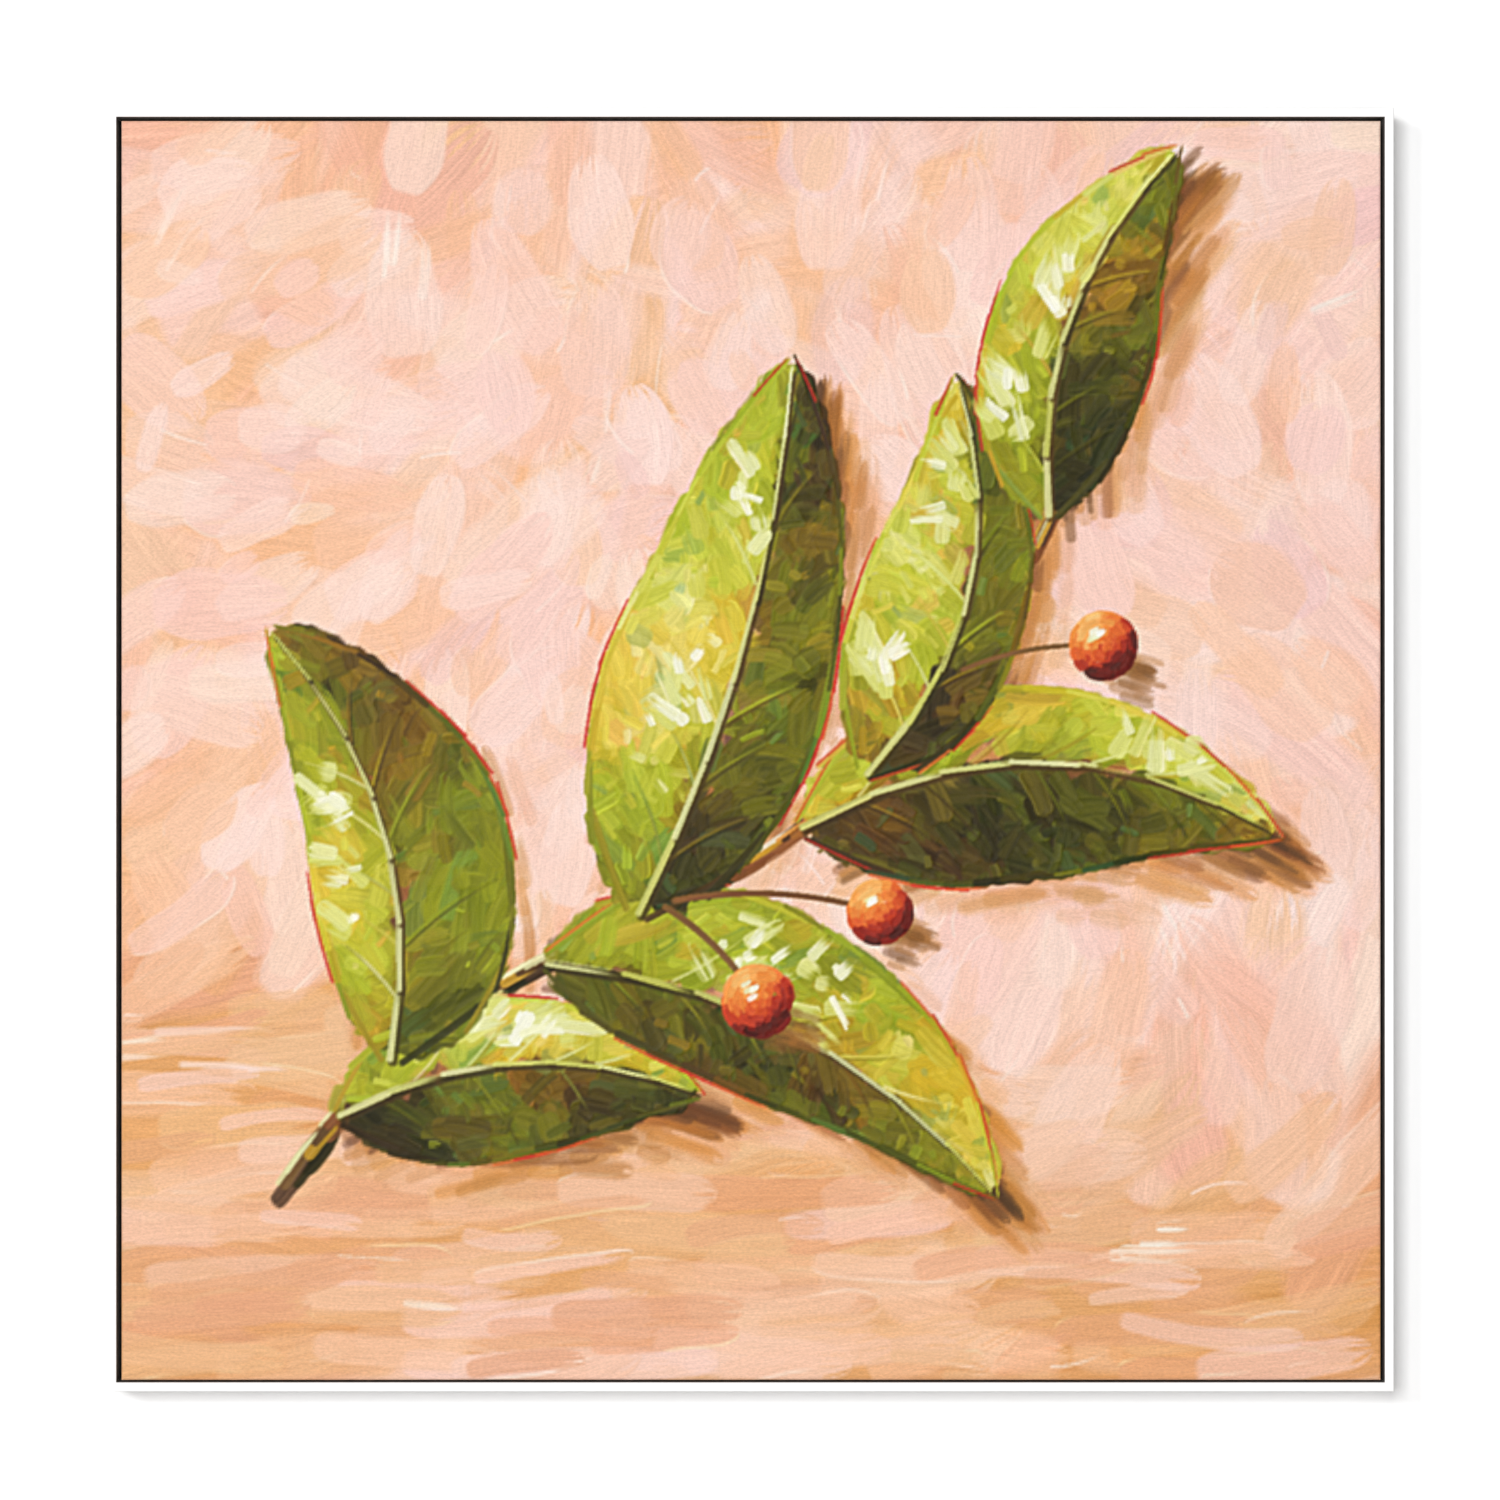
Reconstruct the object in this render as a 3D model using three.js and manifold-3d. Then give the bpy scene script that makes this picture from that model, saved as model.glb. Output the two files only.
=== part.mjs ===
// A square painted canvas in a slim white floater frame, ready to hang. Millimetres, +Z up.
// The picture faces -Y and its back is in the plane Y = 0. The origin is on the back of the top rail,
// midway between the two sawtooth hangers, so everything else is below it.
//
// From the outside in: four mitred L-shaped rails, whose ledge carries the canvas from behind and whose
// wall stands off it by a dark gap; four mitred stretcher bars with two keys in each corner and a
// half-lapped cross between them; the cloth, wrapped round the bars and folded onto their backs; and the
// paint film on its front. Eight screws through the ledge hold the stretcher in the frame.

import * as THREE from "three";
import { mergeVertices } from "three/addons/utils/BufferGeometryUtils.js";
import Module from "manifold-3d";

const wasm = await Module();
wasm.setup();

// ---------- driving dimensions ----------

const CANVAS = 914; // side of the stretched canvas, a 36 inch square
const GAP = { left: 3.6, right: 3.0, top: 2.9, bottom: 1.6 }; // between the canvas and the frame's wall
const CLEAR = 0.3; // between pieces that touch
const MITRE_CLEAR = CLEAR / Math.SQRT2; // what each mitred end gives up along its own length

const WALL = 6.6; // thickness of the rail's wall, which is the white face seen from the front
const LEDGE = 22; // how far the ledge reaches in from the wall
const LEDGE_THICK = 8;
const RAIL_EDGE = 0.8; // chamfer along the rail's edges
const RECESS = 2; // how far the painted face lies behind the front of the frame

const CLOTH = 0.8; // thickness of the primed cloth
const CANVAS_DEPTH = 36; // stretcher and cloth together
const HEM = 33; // width of cloth folded onto the back of the bars
const FOLD_EDGE = 1.2; // chamfer where the cloth turns over the front edge of the bars
const PAINT = 0.8; // thickness of the paint film
const PAINT_MARGIN = 0.8; // bare cloth left round the paint film

const BAR_WIDTH = 44;
const BAR_LIP = 3; // flat top of the raised outer edge that carries the cloth
const BAR_SLOPE = 3.5; // how far the front of the bar falls away from the cloth
const BAR_EDGE = 1.5; // chamfer along the bar's edges

const BRACE = { width: 40, thick: 16, inset: 1.6, housing: 12 }; // inset is from the back of the bars
const KEY = { thick: 3.6, wide: 11, narrow: 4, length: 29, proud: 6, fromCorner: 7, depth: 15 };

const SCREW = { shankR: 2, headR: 3.8, headHigh: 2.3, length: 24, tip: 4, spread: 300 };
const HEAD = { rimHigh: 1, shoulderR: 3, shoulderHigh: 1.9, flatR: 1.9 }; // how a screw's head rounds over
const SCREW_HOLE_R = SCREW.shankR + CLEAR;
const SLOT = { width: 0.9, length: 4.6, deep: 1.1 }; // cross recess in the screw's head

const HANGER = { length: 70, tab: 11, jog: 4, width: 16, sheet: 1, raise: 2.2, spread: 210 };
const TEETH = { count: 9, pitch: 4, deep: 3, flat: 0.4 }; // flat is the blunt tip of each tooth
const NAIL = { shankR: 0.8, headR: 2.3, flatR: 1.6, headHigh: 0.8, length: 6.5, tip: 2, holeR: 1.2 };
const BUMPER = { r: 7, high: 3, fromCorner: 45 };

const SIDES = 24; // faces round a screw or bumper
const NAIL_SIDES = 12; // faces round a nail and its hole
const PAST = 1; // how far a cutting solid runs past the face that it opens

// ---------- where things lie ----------

const opening = {
  width: CANVAS + GAP.left + GAP.right,
  height: CANVAS + GAP.top + GAP.bottom,
};
const outer = { width: opening.width + 2 * WALL, height: opening.height + 2 * WALL };
const RAIL_REACH = WALL + LEDGE; // full width of a rail's back
const CENTRE_LINE = RAIL_REACH / 2; // line along the middle of a rail's back
const frameCentreZ = CENTRE_LINE - outer.height / 2;

const canvasCentre = {
  x: (GAP.left - GAP.right) / 2,
  z: frameCentreZ + (GAP.bottom - GAP.top) / 2,
};
const clothBack = -(LEDGE_THICK + CLEAR);
const clothFront = clothBack - CANVAS_DEPTH;
const paintBack = clothFront - CLEAR;
const paintFront = paintBack - PAINT;
const frameFront = paintFront - RECESS;

const barBack = clothBack - CLOTH - CLEAR;
const barFront = clothFront + CLOTH + CLEAR;
const BARS = CANVAS - 2 * (CLOTH + CLEAR); // side of the square that the four bars make
const barInner = BARS / 2 - BAR_WIDTH; // from the canvas's centre to a bar's inner face
const braceBack = barBack - BRACE.inset;
const screwLine = WALL + LEDGE / 2; // from the rail's outer edge to its line of screws

// ---------- materials ----------

const finish = (color, roughness, metalness = 0) =>
  new THREE.MeshStandardMaterial({ color, roughness, metalness });
const whiteLacquer = finish(0xf6f6f3, 0.45);
const pine = finish(0xdcbc8a, 0.75);
const cloth = finish(0xe9e2d0, 0.9);
const paint = finish(0xf0b89c, 0.55);
const zinc = finish(0xb9bcc0, 0.35, 1);
const brass = finish(0xc7a25a, 0.35, 1);
const felt = finish(0x6d6a66, 0.95);

// ---------- solids ----------

function solidOf(geometry) {
  const bare = geometry.clone();
  bare.deleteAttribute("normal");
  bare.deleteAttribute("uv");
  const merged = mergeVertices(bare, 1e-4);
  return new wasm.Manifold(
    new wasm.Mesh({
      numProp: 3,
      vertProperties: new Float32Array(merged.attributes.position.array),
      triVerts: new Uint32Array(merged.index.array),
    }),
  );
}

function geometryOf(solid) {
  const { vertProperties, triVerts } = solid.getMesh();
  const geometry = new THREE.BufferGeometry();
  geometry.setAttribute("position", new THREE.BufferAttribute(new Float32Array(vertProperties), 3));
  geometry.setIndex(new THREE.BufferAttribute(new Uint32Array(triVerts), 1));
  geometry.computeVertexNormals();
  return geometry;
}

// A box between two limits on each axis.
function block([x0, x1], [y0, y1], [z0, z1]) {
  const box = new THREE.BoxGeometry(x1 - x0, y1 - y0, z1 - z0);
  return solidOf(box.translate((x0 + x1) / 2, (y0 + y1) / 2, (z0 + z1) / 2));
}

// A round bar along Y, from y0 to y1.
function roundAlongY(x, z, r, y0, y1, sides = SIDES) {
  return solidOf(new THREE.CylinderGeometry(r, r, y1 - y0, sides).translate(x, (y0 + y1) / 2, z));
}

// A closed outline of [u, w] points, drawn out along the third axis by length and centred on it.
function prism(points, length) {
  const shape = new THREE.Shape(points.map(([u, w]) => new THREE.Vector2(u, w)));
  const geometry = new THREE.ExtrudeGeometry(shape, { depth: length, bevelEnabled: false });
  return geometry.translate(0, 0, -length / 2);
}

// A straight length along X with mitred ends. The section's points are [v, y], where v is the distance
// in from the outer edge, and the piece lies with its outer edge at Z = 0 and its inside below it.
function mitred(section, length) {
  const geometry = prism(section, 2);
  const position = geometry.getAttribute("position");
  for (let i = 0; i < position.count; i++) {
    const v = position.getX(i);
    const y = position.getY(i);
    const end = Math.sign(position.getZ(i));
    position.setXYZ(i, end * (length / 2 - v - MITRE_CLEAR), y, -v);
  }
  return solidOf(geometry);
}

// ---------- the frame ----------

const railSection = [
  [RAIL_EDGE, 0],
  [RAIL_REACH - RAIL_EDGE, 0],
  [RAIL_REACH, -RAIL_EDGE],
  [RAIL_REACH, -LEDGE_THICK],
  [WALL, -LEDGE_THICK],
  [WALL, frameFront + RAIL_EDGE],
  [WALL - RAIL_EDGE, frameFront],
  [RAIL_EDGE, frameFront],
  [0, frameFront + RAIL_EDGE],
  [0, -RAIL_EDGE],
];

const screwPlaces = [-SCREW.spread, SCREW.spread];
const hangerPlaces = { left: -HANGER.spread, right: HANGER.spread };
const nailReach = HANGER.length / 2 - HANGER.tab / 2; // from the hanger's middle to a nail

function railSolid(length) {
  const depth = [-LEDGE_THICK - PAST, PAST];
  const holes = screwPlaces.map((x) => roundAlongY(x, -screwLine, SCREW_HOLE_R, ...depth));
  return holes.reduce((rail, hole) => rail.subtract(hole), mitred(railSection, length));
}

function topRailSolid() {
  const depth = [-NAIL.length - CLEAR, PAST];
  let rail = railSolid(outer.width);
  for (const middle of Object.values(hangerPlaces))
    for (const side of [-1, 1]) {
      const x = middle + side * nailReach;
      rail = rail.subtract(roundAlongY(x, -CENTRE_LINE, NAIL.holeR, ...depth, NAIL_SIDES));
    }
  return rail;
}

// The four sides of the square: how far each is turned about +Y from the top one.
const SIDE_TURNS = { top: 0, right: Math.PI / 2, bottom: Math.PI, left: -Math.PI / 2 };
const isLevel = (side) => side === "top" || side === "bottom";

// Lays a piece that was made as the top side on any side of a rectangle about a centre.
function laidOn(mesh, side, centre, width, height) {
  const turn = SIDE_TURNS[side];
  const reach = (isLevel(side) ? height : width) / 2;
  mesh.rotation.y = turn;
  mesh.position.set(centre.x + Math.sin(turn) * reach, 0, centre.z + Math.cos(turn) * reach);
  return mesh;
}

function piece(name, geometry, material) {
  const mesh = new THREE.Mesh(geometry, material);
  mesh.name = name;
  return mesh;
}

const frameCentre = { x: 0, z: frameCentreZ };

function rails() {
  return Object.keys(SIDE_TURNS).map((side) => {
    const length = isLevel(side) ? outer.width : outer.height;
    const solid = side === "top" ? topRailSolid() : railSolid(length);
    const mesh = piece(`rail_${side}`, geometryOf(solid), whiteLacquer);
    return laidOn(mesh, side, frameCentre, outer.width, outer.height);
  });
}

// ---------- the stretcher ----------

const barSection = [
  [BAR_EDGE, barBack],
  [BAR_WIDTH - BAR_EDGE, barBack],
  [BAR_WIDTH, barBack - BAR_EDGE],
  [BAR_WIDTH, barFront + BAR_SLOPE + BAR_EDGE],
  [BAR_WIDTH - BAR_EDGE, barFront + BAR_SLOPE],
  [BAR_LIP, barFront],
  [BAR_EDGE, barFront],
  [0, barFront + BAR_EDGE],
  [0, barBack - BAR_EDGE],
];

const keyNear = BARS / 2 - BAR_WIDTH - KEY.fromCorner; // the key's straight side, from the bar's middle
const keyTip = BAR_WIDTH + KEY.proud - KEY.length; // the key's narrow end, from the bar's outer edge
const keyBack = barBack - KEY.depth;

function keySlot(end) {
  const along = [end * (keyNear + CLEAR), end * (keyNear - KEY.wide - CLEAR)].sort((a, b) => a - b);
  const depth = [keyBack - KEY.thick - CLEAR, keyBack + CLEAR];
  return block(along, depth, [-BAR_WIDTH - PAST, -keyTip + CLEAR]);
}

// side is where the bar lies, because the screws keep to the rail and not to the bar's own middle.
function barSolid(side) {
  const shift = {
    top: -canvasCentre.x,
    bottom: canvasCentre.x,
    right: canvasCentre.z - frameCentreZ,
    left: frameCentreZ - canvasCentre.z,
  }[side];
  const edge = GAP[side] + CLOTH + CLEAR; // from the rail's wall to the bar's outer edge
  const housing = block(
    [-BRACE.width / 2 - CLEAR, BRACE.width / 2 + CLEAR],
    [braceBack - BRACE.thick - CLEAR, barBack + PAST],
    [-BAR_WIDTH - PAST, -BAR_WIDTH + BRACE.housing + CLEAR],
  );
  const pilots = screwPlaces.map((x) =>
    roundAlongY(x + shift, edge - LEDGE / 2, SCREW_HOLE_R, -SCREW.length - CLEAR, barBack + PAST),
  );
  const cuts = [housing, keySlot(-1), keySlot(1), ...pilots];
  return cuts.reduce((bar, cut) => bar.subtract(cut), mitred(barSection, BARS));
}

function bars() {
  return Object.keys(SIDE_TURNS).map((side) => {
    const mesh = piece(`stretcher_${side}`, geometryOf(barSolid(side)), pine);
    return laidOn(mesh, side, canvasCentre, BARS, BARS);
  });
}

// A wedge with one straight side, driven through the inner face of a bar near its end.
function keyGeometry(end) {
  const tip = -keyTip;
  const butt = -keyTip - KEY.length;
  const outline = [
    [end * keyNear, tip],
    [end * keyNear, butt],
    [end * (keyNear - KEY.wide), butt],
    [end * (keyNear - KEY.narrow), tip],
  ];
  const wedge = prism(end > 0 ? outline.reverse() : outline, KEY.thick);
  return wedge.rotateX(Math.PI / 2).translate(0, keyBack - KEY.thick / 2, 0);
}

function keys() {
  const made = [];
  for (const side of Object.keys(SIDE_TURNS))
    for (const [hand, end] of [["a", -1], ["b", 1]]) {
      const mesh = piece(`key_${side}_${hand}`, geometryOf(solidOf(keyGeometry(end))), pine);
      made.push(laidOn(mesh, side, canvasCentre, BARS, BARS));
    }
  return made;
}

// Two braces halved into each other where they cross: one is cut from behind and the other from in front.
function brace(name, turn, cutFromBehind) {
  const half = barInner + BRACE.housing;
  const middle = braceBack - BRACE.thick / 2;
  const span = BRACE.width / 2;
  const whole = block([-half, half], [braceBack - BRACE.thick, braceBack], [-span, span]);
  const notch = cutFromBehind
    ? [middle - CLEAR / 2, braceBack + PAST]
    : [braceBack - BRACE.thick - PAST, middle + CLEAR / 2];
  const cut = block([-span - CLEAR, span + CLEAR], notch, [-span - PAST, span + PAST]);
  const mesh = piece(name, geometryOf(whole.subtract(cut)), pine);
  mesh.rotation.y = turn;
  mesh.position.set(canvasCentre.x, 0, canvasCentre.z);
  return mesh;
}

// ---------- the cloth and the paint ----------

// A square slab of the given side whose front edges are chamfered all round, between two depths.
function chamferedSlab(side, front, back, edge) {
  const half = side / 2;
  const outline = [
    [-half, back],
    [-half, front + edge],
    [-half + edge, front],
    [half - edge, front],
    [half, front + edge],
    [half, back],
  ];
  const upright = prism(outline.slice().reverse(), side);
  const level = upright.clone().rotateY(Math.PI / 2);
  return solidOf(upright).intersect(solidOf(level));
}

function clothSolid() {
  const within = CANVAS - 2 * CLOTH;
  const skin = chamferedSlab(CANVAS, clothFront, clothBack, FOLD_EDGE);
  const hollow = chamferedSlab(within, clothFront + CLOTH, clothBack - CLOTH, FOLD_EDGE);
  const open = CANVAS / 2 - HEM;
  const throughHem = [clothBack - CLOTH - PAST, clothBack + PAST];
  const back = block([-open, open], throughHem, [-open, open]);
  let solid = skin.subtract(hollow).subtract(back);
  for (const side of Object.keys(SIDE_TURNS)) {
    const turn = SIDE_TURNS[side];
    const reach = (isLevel(side) ? outer.height : outer.width) / 2 - screwLine;
    for (const along of screwPlaces) {
      const x = Math.cos(turn) * along + Math.sin(turn) * reach - canvasCentre.x;
      const z = -Math.sin(turn) * along + Math.cos(turn) * reach + frameCentreZ - canvasCentre.z;
      solid = solid.subtract(roundAlongY(x, z, SCREW_HOLE_R, ...throughHem));
    }
  }
  return solid;
}

function canvasPieces() {
  const sheet = piece("canvas_cloth", geometryOf(clothSolid()), cloth);
  const side = CANVAS - 2 * PAINT_MARGIN;
  const film = piece("paint_film", new THREE.BoxGeometry(side, PAINT, side), paint);
  film.position.y = paintBack - PAINT / 2;
  const group = new THREE.Group();
  group.position.set(canvasCentre.x, 0, canvasCentre.z);
  group.add(sheet, film);
  return group;
}

// ---------- fixings ----------

// A round body from a profile of [radius, height] points, its height along +Y.
const lathe = (profile, sides = SIDES) =>
  new THREE.LatheGeometry(profile.map(([r, y]) => new THREE.Vector2(r, y)), sides);

// A pan-head screw with a cross recess: its head is behind the frame and its point towards the front.
function screwGeometry() {
  const shoulder = CLEAR;
  const top = shoulder + SCREW.headHigh;
  const body = solidOf(
    lathe([
      [0, -SCREW.length],
      [SCREW.shankR, -SCREW.length + SCREW.tip],
      [SCREW.shankR, shoulder],
      [SCREW.headR, shoulder],
      [SCREW.headR, shoulder + HEAD.rimHigh],
      [HEAD.shoulderR, shoulder + HEAD.shoulderHigh],
      [HEAD.flatR, top],
      [0, top],
    ]),
  );
  const [long, wide] = [SLOT.length / 2, SLOT.width / 2];
  const recess = [top - SLOT.deep, top + PAST];
  const cross = block([-long, long], recess, [-wide, wide]).add(
    block([-wide, wide], recess, [-long, long]),
  );
  return geometryOf(body.subtract(cross));
}

function screws() {
  const made = [];
  for (const side of Object.keys(SIDE_TURNS))
    for (const [i, along] of screwPlaces.entries()) {
      const holder = laidOn(new THREE.Group(), side, frameCentre, outer.width, outer.height);
      const mesh = piece(`screw_${side}_${i + 1}`, screwGeometry(), zinc);
      mesh.position.set(along, 0, -screwLine);
      holder.add(mesh);
      made.push(holder);
    }
  return made;
}

// A strip of sheet metal, flat on the wood at its two tabs and raised between them, with teeth along
// its lower edge that drop over the head of a nail in the wall.
function hangerGeometry() {
  const end = HANGER.length / 2;
  const tabEnd = end - HANGER.tab;
  const raised = tabEnd - HANGER.jog;
  const low = CLEAR;
  const high = HANGER.raise;
  const under = [[-end, low], [-tabEnd, low], [-raised, high], [raised, high], [tabEnd, low], [end, low]];
  const over = under.map(([x, y]) => [x, y + HANGER.sheet]).reverse();
  let strip = solidOf(prism([...under, ...over], HANGER.width));
  const edge = -HANGER.width / 2;
  const throughSheet = 2 * (high + HANGER.sheet + PAST);
  const half = (TEETH.pitch - TEETH.flat) / 2;
  for (let i = 0; i < TEETH.count; i++) {
    const x = (i - (TEETH.count - 1) / 2) * TEETH.pitch;
    const widening = half * (1 + PAST / TEETH.deep);
    const outline = [[x - widening, edge - PAST], [x + widening, edge - PAST], [x, edge + TEETH.deep]];
    strip = strip.subtract(solidOf(prism(outline, throughSheet).rotateX(Math.PI / 2)));
  }
  for (const side of [-1, 1])
    strip = strip.subtract(roundAlongY(side * nailReach, 0, NAIL.holeR, -PAST, high + PAST, NAIL_SIDES));
  return geometryOf(strip);
}

function nailGeometry() {
  const seat = HANGER.sheet + 2 * CLEAR;
  const profile = [
    [0, -NAIL.length],
    [NAIL.shankR, -NAIL.length + NAIL.tip],
    [NAIL.shankR, seat],
    [NAIL.headR, seat],
    [NAIL.headR, seat + NAIL.headHigh / 2],
    [NAIL.flatR, seat + NAIL.headHigh],
    [0, seat + NAIL.headHigh],
  ];
  return lathe(profile, NAIL_SIDES);
}

function hangers() {
  const made = [];
  for (const [hand, x] of Object.entries(hangerPlaces)) {
    const strip = piece(`hanger_${hand}`, hangerGeometry(), brass);
    strip.position.x = x;
    made.push(strip);
    for (const [i, side] of [-1, 1].entries()) {
      const nail = piece(`nail_${hand}_${i + 1}`, geometryOf(solidOf(nailGeometry())), brass);
      nail.position.x = x + side * nailReach;
      made.push(nail);
    }
  }
  return made;
}

// Felt pads on the bottom rail, as thick as the hangers stand out, so that the picture hangs plumb.
function bumpers() {
  const disc = new THREE.CylinderGeometry(BUMPER.r, BUMPER.r, BUMPER.high, SIDES);
  const bottomCentreLine = 2 * CENTRE_LINE - outer.height;
  return [["left", -1], ["right", 1]].map(([hand, side]) => {
    const pad = piece(`bumper_${hand}`, disc, felt);
    const x = side * (outer.width / 2 - BUMPER.fromCorner);
    pad.position.set(x, CLEAR + BUMPER.high / 2, bottomCentreLine);
    return pad;
  });
}

// ---------- the whole picture ----------

const picture = new THREE.Group();
picture.add(
  ...rails(),
  ...bars(),
  ...keys(),
  brace("brace_level", 0, true),
  brace("brace_upright", Math.PI / 2, false),
  canvasPieces(),
  ...screws(),
  ...hangers(),
  ...bumpers(),
);

export default picture;
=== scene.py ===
"""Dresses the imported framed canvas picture: frame, stretcher, cloth, oil painting, fixings and studio.

Everything is in metres in the frame of the CAD model: +Z up, the picture faces -Y, and the origin is on
the back of the top rail midway between the hangers.
"""
from math import atan2, cos, hypot, pi, radians, sin

import bmesh
import bpy
import numpy as np
from bpy.props import FloatProperty, FloatVectorProperty, IntProperty, PointerProperty
from bpy.types import Operator, Panel, PropertyGroup
from mathutils import Matrix, Vector


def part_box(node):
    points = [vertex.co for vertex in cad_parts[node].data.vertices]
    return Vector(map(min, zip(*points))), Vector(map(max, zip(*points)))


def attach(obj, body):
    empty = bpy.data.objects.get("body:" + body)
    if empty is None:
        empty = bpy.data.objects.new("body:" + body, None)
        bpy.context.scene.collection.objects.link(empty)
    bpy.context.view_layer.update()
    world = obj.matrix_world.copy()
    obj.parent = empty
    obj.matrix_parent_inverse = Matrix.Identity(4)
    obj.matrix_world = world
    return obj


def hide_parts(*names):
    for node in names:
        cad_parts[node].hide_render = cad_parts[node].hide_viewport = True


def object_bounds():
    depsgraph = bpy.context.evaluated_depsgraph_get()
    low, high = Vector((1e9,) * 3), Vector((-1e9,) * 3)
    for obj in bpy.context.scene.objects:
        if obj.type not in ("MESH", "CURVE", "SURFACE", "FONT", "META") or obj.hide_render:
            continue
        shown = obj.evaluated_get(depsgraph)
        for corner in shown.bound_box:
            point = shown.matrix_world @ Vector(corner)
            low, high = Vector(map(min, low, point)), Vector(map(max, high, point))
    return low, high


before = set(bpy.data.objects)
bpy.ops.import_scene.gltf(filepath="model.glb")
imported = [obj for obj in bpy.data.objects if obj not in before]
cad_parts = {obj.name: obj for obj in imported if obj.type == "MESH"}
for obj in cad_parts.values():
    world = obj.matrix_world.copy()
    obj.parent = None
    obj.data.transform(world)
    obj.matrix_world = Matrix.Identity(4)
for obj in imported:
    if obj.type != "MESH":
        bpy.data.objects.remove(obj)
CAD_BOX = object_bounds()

bl_info = {
    "name": "Framed Canvas Picture",
    "version": (1, 0, 0),
    "blender": (4, 5, 0),
    "location": "View3D > Sidebar > Picture",
    "description": "Frame, stretched canvas, oil painting and fixings of a ready-to-hang picture",
    "category": "Object",
}

MM = 0.001
NEAR = 0.1 * MM  # places closer than this count as the same
SCREEN_CURVE = 2.2  # from a screen value to roughly the light that it stands for
SIDES = ("top", "right", "bottom", "left")
SIDE_TURNS = dict(zip(SIDES, (0, pi / 2, pi, -pi / 2)))  # about +Y, from the top side
SIDES_OUT = ((0, 0, 1), (1, 0, 0), (0, 0, -1), (-1, 0, 0))  # outward from each side
HANDS = ("left", "right")
CORNERS = {"bottom_left": (-1, -1), "top_left": (-1, 1), "bottom_right": (1, -1), "top_right": (1, 1)}


def joined_box(names):
    """The lowest and highest corners of several CAD nodes together."""
    corners = [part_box(name) for name in names]
    low = Vector(min(c[0][i] for c in corners) for i in range(3))
    high = Vector(max(c[1][i] for c in corners) for i in range(3))
    return low, high


FRAME_BOX = joined_box(f"rail_{side}" for side in SIDES)
CLOTH_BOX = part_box("canvas_cloth")
FILM_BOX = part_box("paint_film")
FRAME_CENTRE = (FRAME_BOX[0] + FRAME_BOX[1]) / 2
FRAME_SPAN = FRAME_BOX[1] - FRAME_BOX[0]
CANVAS_CENTRE = (CLOTH_BOX[0] + CLOTH_BOX[1]) / 2
CANVAS_HALF = (CLOTH_BOX[1].x - CLOTH_BOX[0].x) / 2


# ---------------------------------------------------------------- sizes and colours


def length_setting(name, description, millimetres):
    return FloatProperty(name=name, description=description, default=millimetres * MM, unit="LENGTH")


def power_setting(name, description, watts):
    return FloatProperty(name=name, description=description, default=watts, unit="POWER")


def colour_setting(name, description, *default):
    return FloatVectorProperty(name=name, description=description, subtype="COLOR", size=4,
                               default=(*default, 1))


def paint_setting(name, description, *default):
    """A colour as it is mixed on the palette, in screen values."""
    return FloatVectorProperty(name=name, description=description, subtype="COLOR_GAMMA", size=3,
                               default=default)


class PICTURE_PG_frame(PropertyGroup):
    """The slim white frame round the canvas."""

    wall: length_setting("Wall", "Thickness of the wall, the white face seen from the front", 6.6)
    ledge: length_setting("Ledge", "How far the ledge reaches in behind the canvas", 22)
    ledge_thick: length_setting("Ledge Thickness", "Thickness of the ledge", 8)
    rounding: length_setting("Rounding", "Radius of the rail's long edges", 0.7)
    mitre_gap: length_setting("Mitre Gap", "Hairline left at each mitred corner", 0.03)
    lacquer: colour_setting("Lacquer", "Colour of the frame's lacquer", 0.93, 0.93, 0.925)
    gap: colour_setting("Gap Paint", "Colour of the paint inside the frame's wall and on its ledge",
                        0.16, 0.147, 0.137)


class PICTURE_PG_canvas(PropertyGroup):
    """The cloth and the wooden stretcher that it is pulled over."""

    thickness: length_setting("Thickness", "Thickness of the primed cloth", 0.8)
    hem: length_setting("Hem", "Width of cloth folded onto the back", 33)
    fold: length_setting("Fold", "Radius where the cloth turns over the bars", 1.2)
    thread: length_setting("Thread", "Distance between threads of the weave", 0.85)
    easing: length_setting("Easing", "Rounding of the wood's sawn edges", 0.6)
    cotton: colour_setting("Cotton", "Colour of the bare cloth", 0.62, 0.54, 0.41)
    primer: colour_setting("Primer", "Colour of the primed cloth", 0.84, 0.83, 0.79)
    pine: colour_setting("Pine", "Colour of the pine between its rings", 0.73, 0.53, 0.31)
    pine_ring: colour_setting("Pine Ring", "Colour of the pine's dark rings", 0.46, 0.25, 0.1)


class PICTURE_PG_painting(PropertyGroup):
    """The oil painting: a leafy sprig lying on a warm ground."""

    seed: IntProperty(
        name="Seed", description="Starting number of every random draw in the painting", default=7, min=0)
    relief: length_setting("Relief", "Most that thick paint stands above the film's face", 1.6)
    ground: paint_setting("Ground", "Main colour of the ground", 0.969, 0.796, 0.690)
    table: paint_setting("Table", "Main colour of the ground's lower part", 0.902, 0.686, 0.502)


class PICTURE_PG_fixings(PropertyGroup):
    """Staples, wedge nails and felt pads."""

    staple_crown: length_setting("Staple Crown", "Length of a staple's crown", 10)
    staple_wire: length_setting("Staple Wire", "Width of a staple's flat wire", 1.1)
    staple_count: IntProperty(
        name="Staples a Side", description="Staples along each side of the hem", default=12, min=2)
    wedge: length_setting("Wedge Nail", "Size of the V-shaped nails across the mitres", 6)
    felt: colour_setting("Felt", "Colour of the wall pads", 0.16, 0.155, 0.15)


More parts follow.
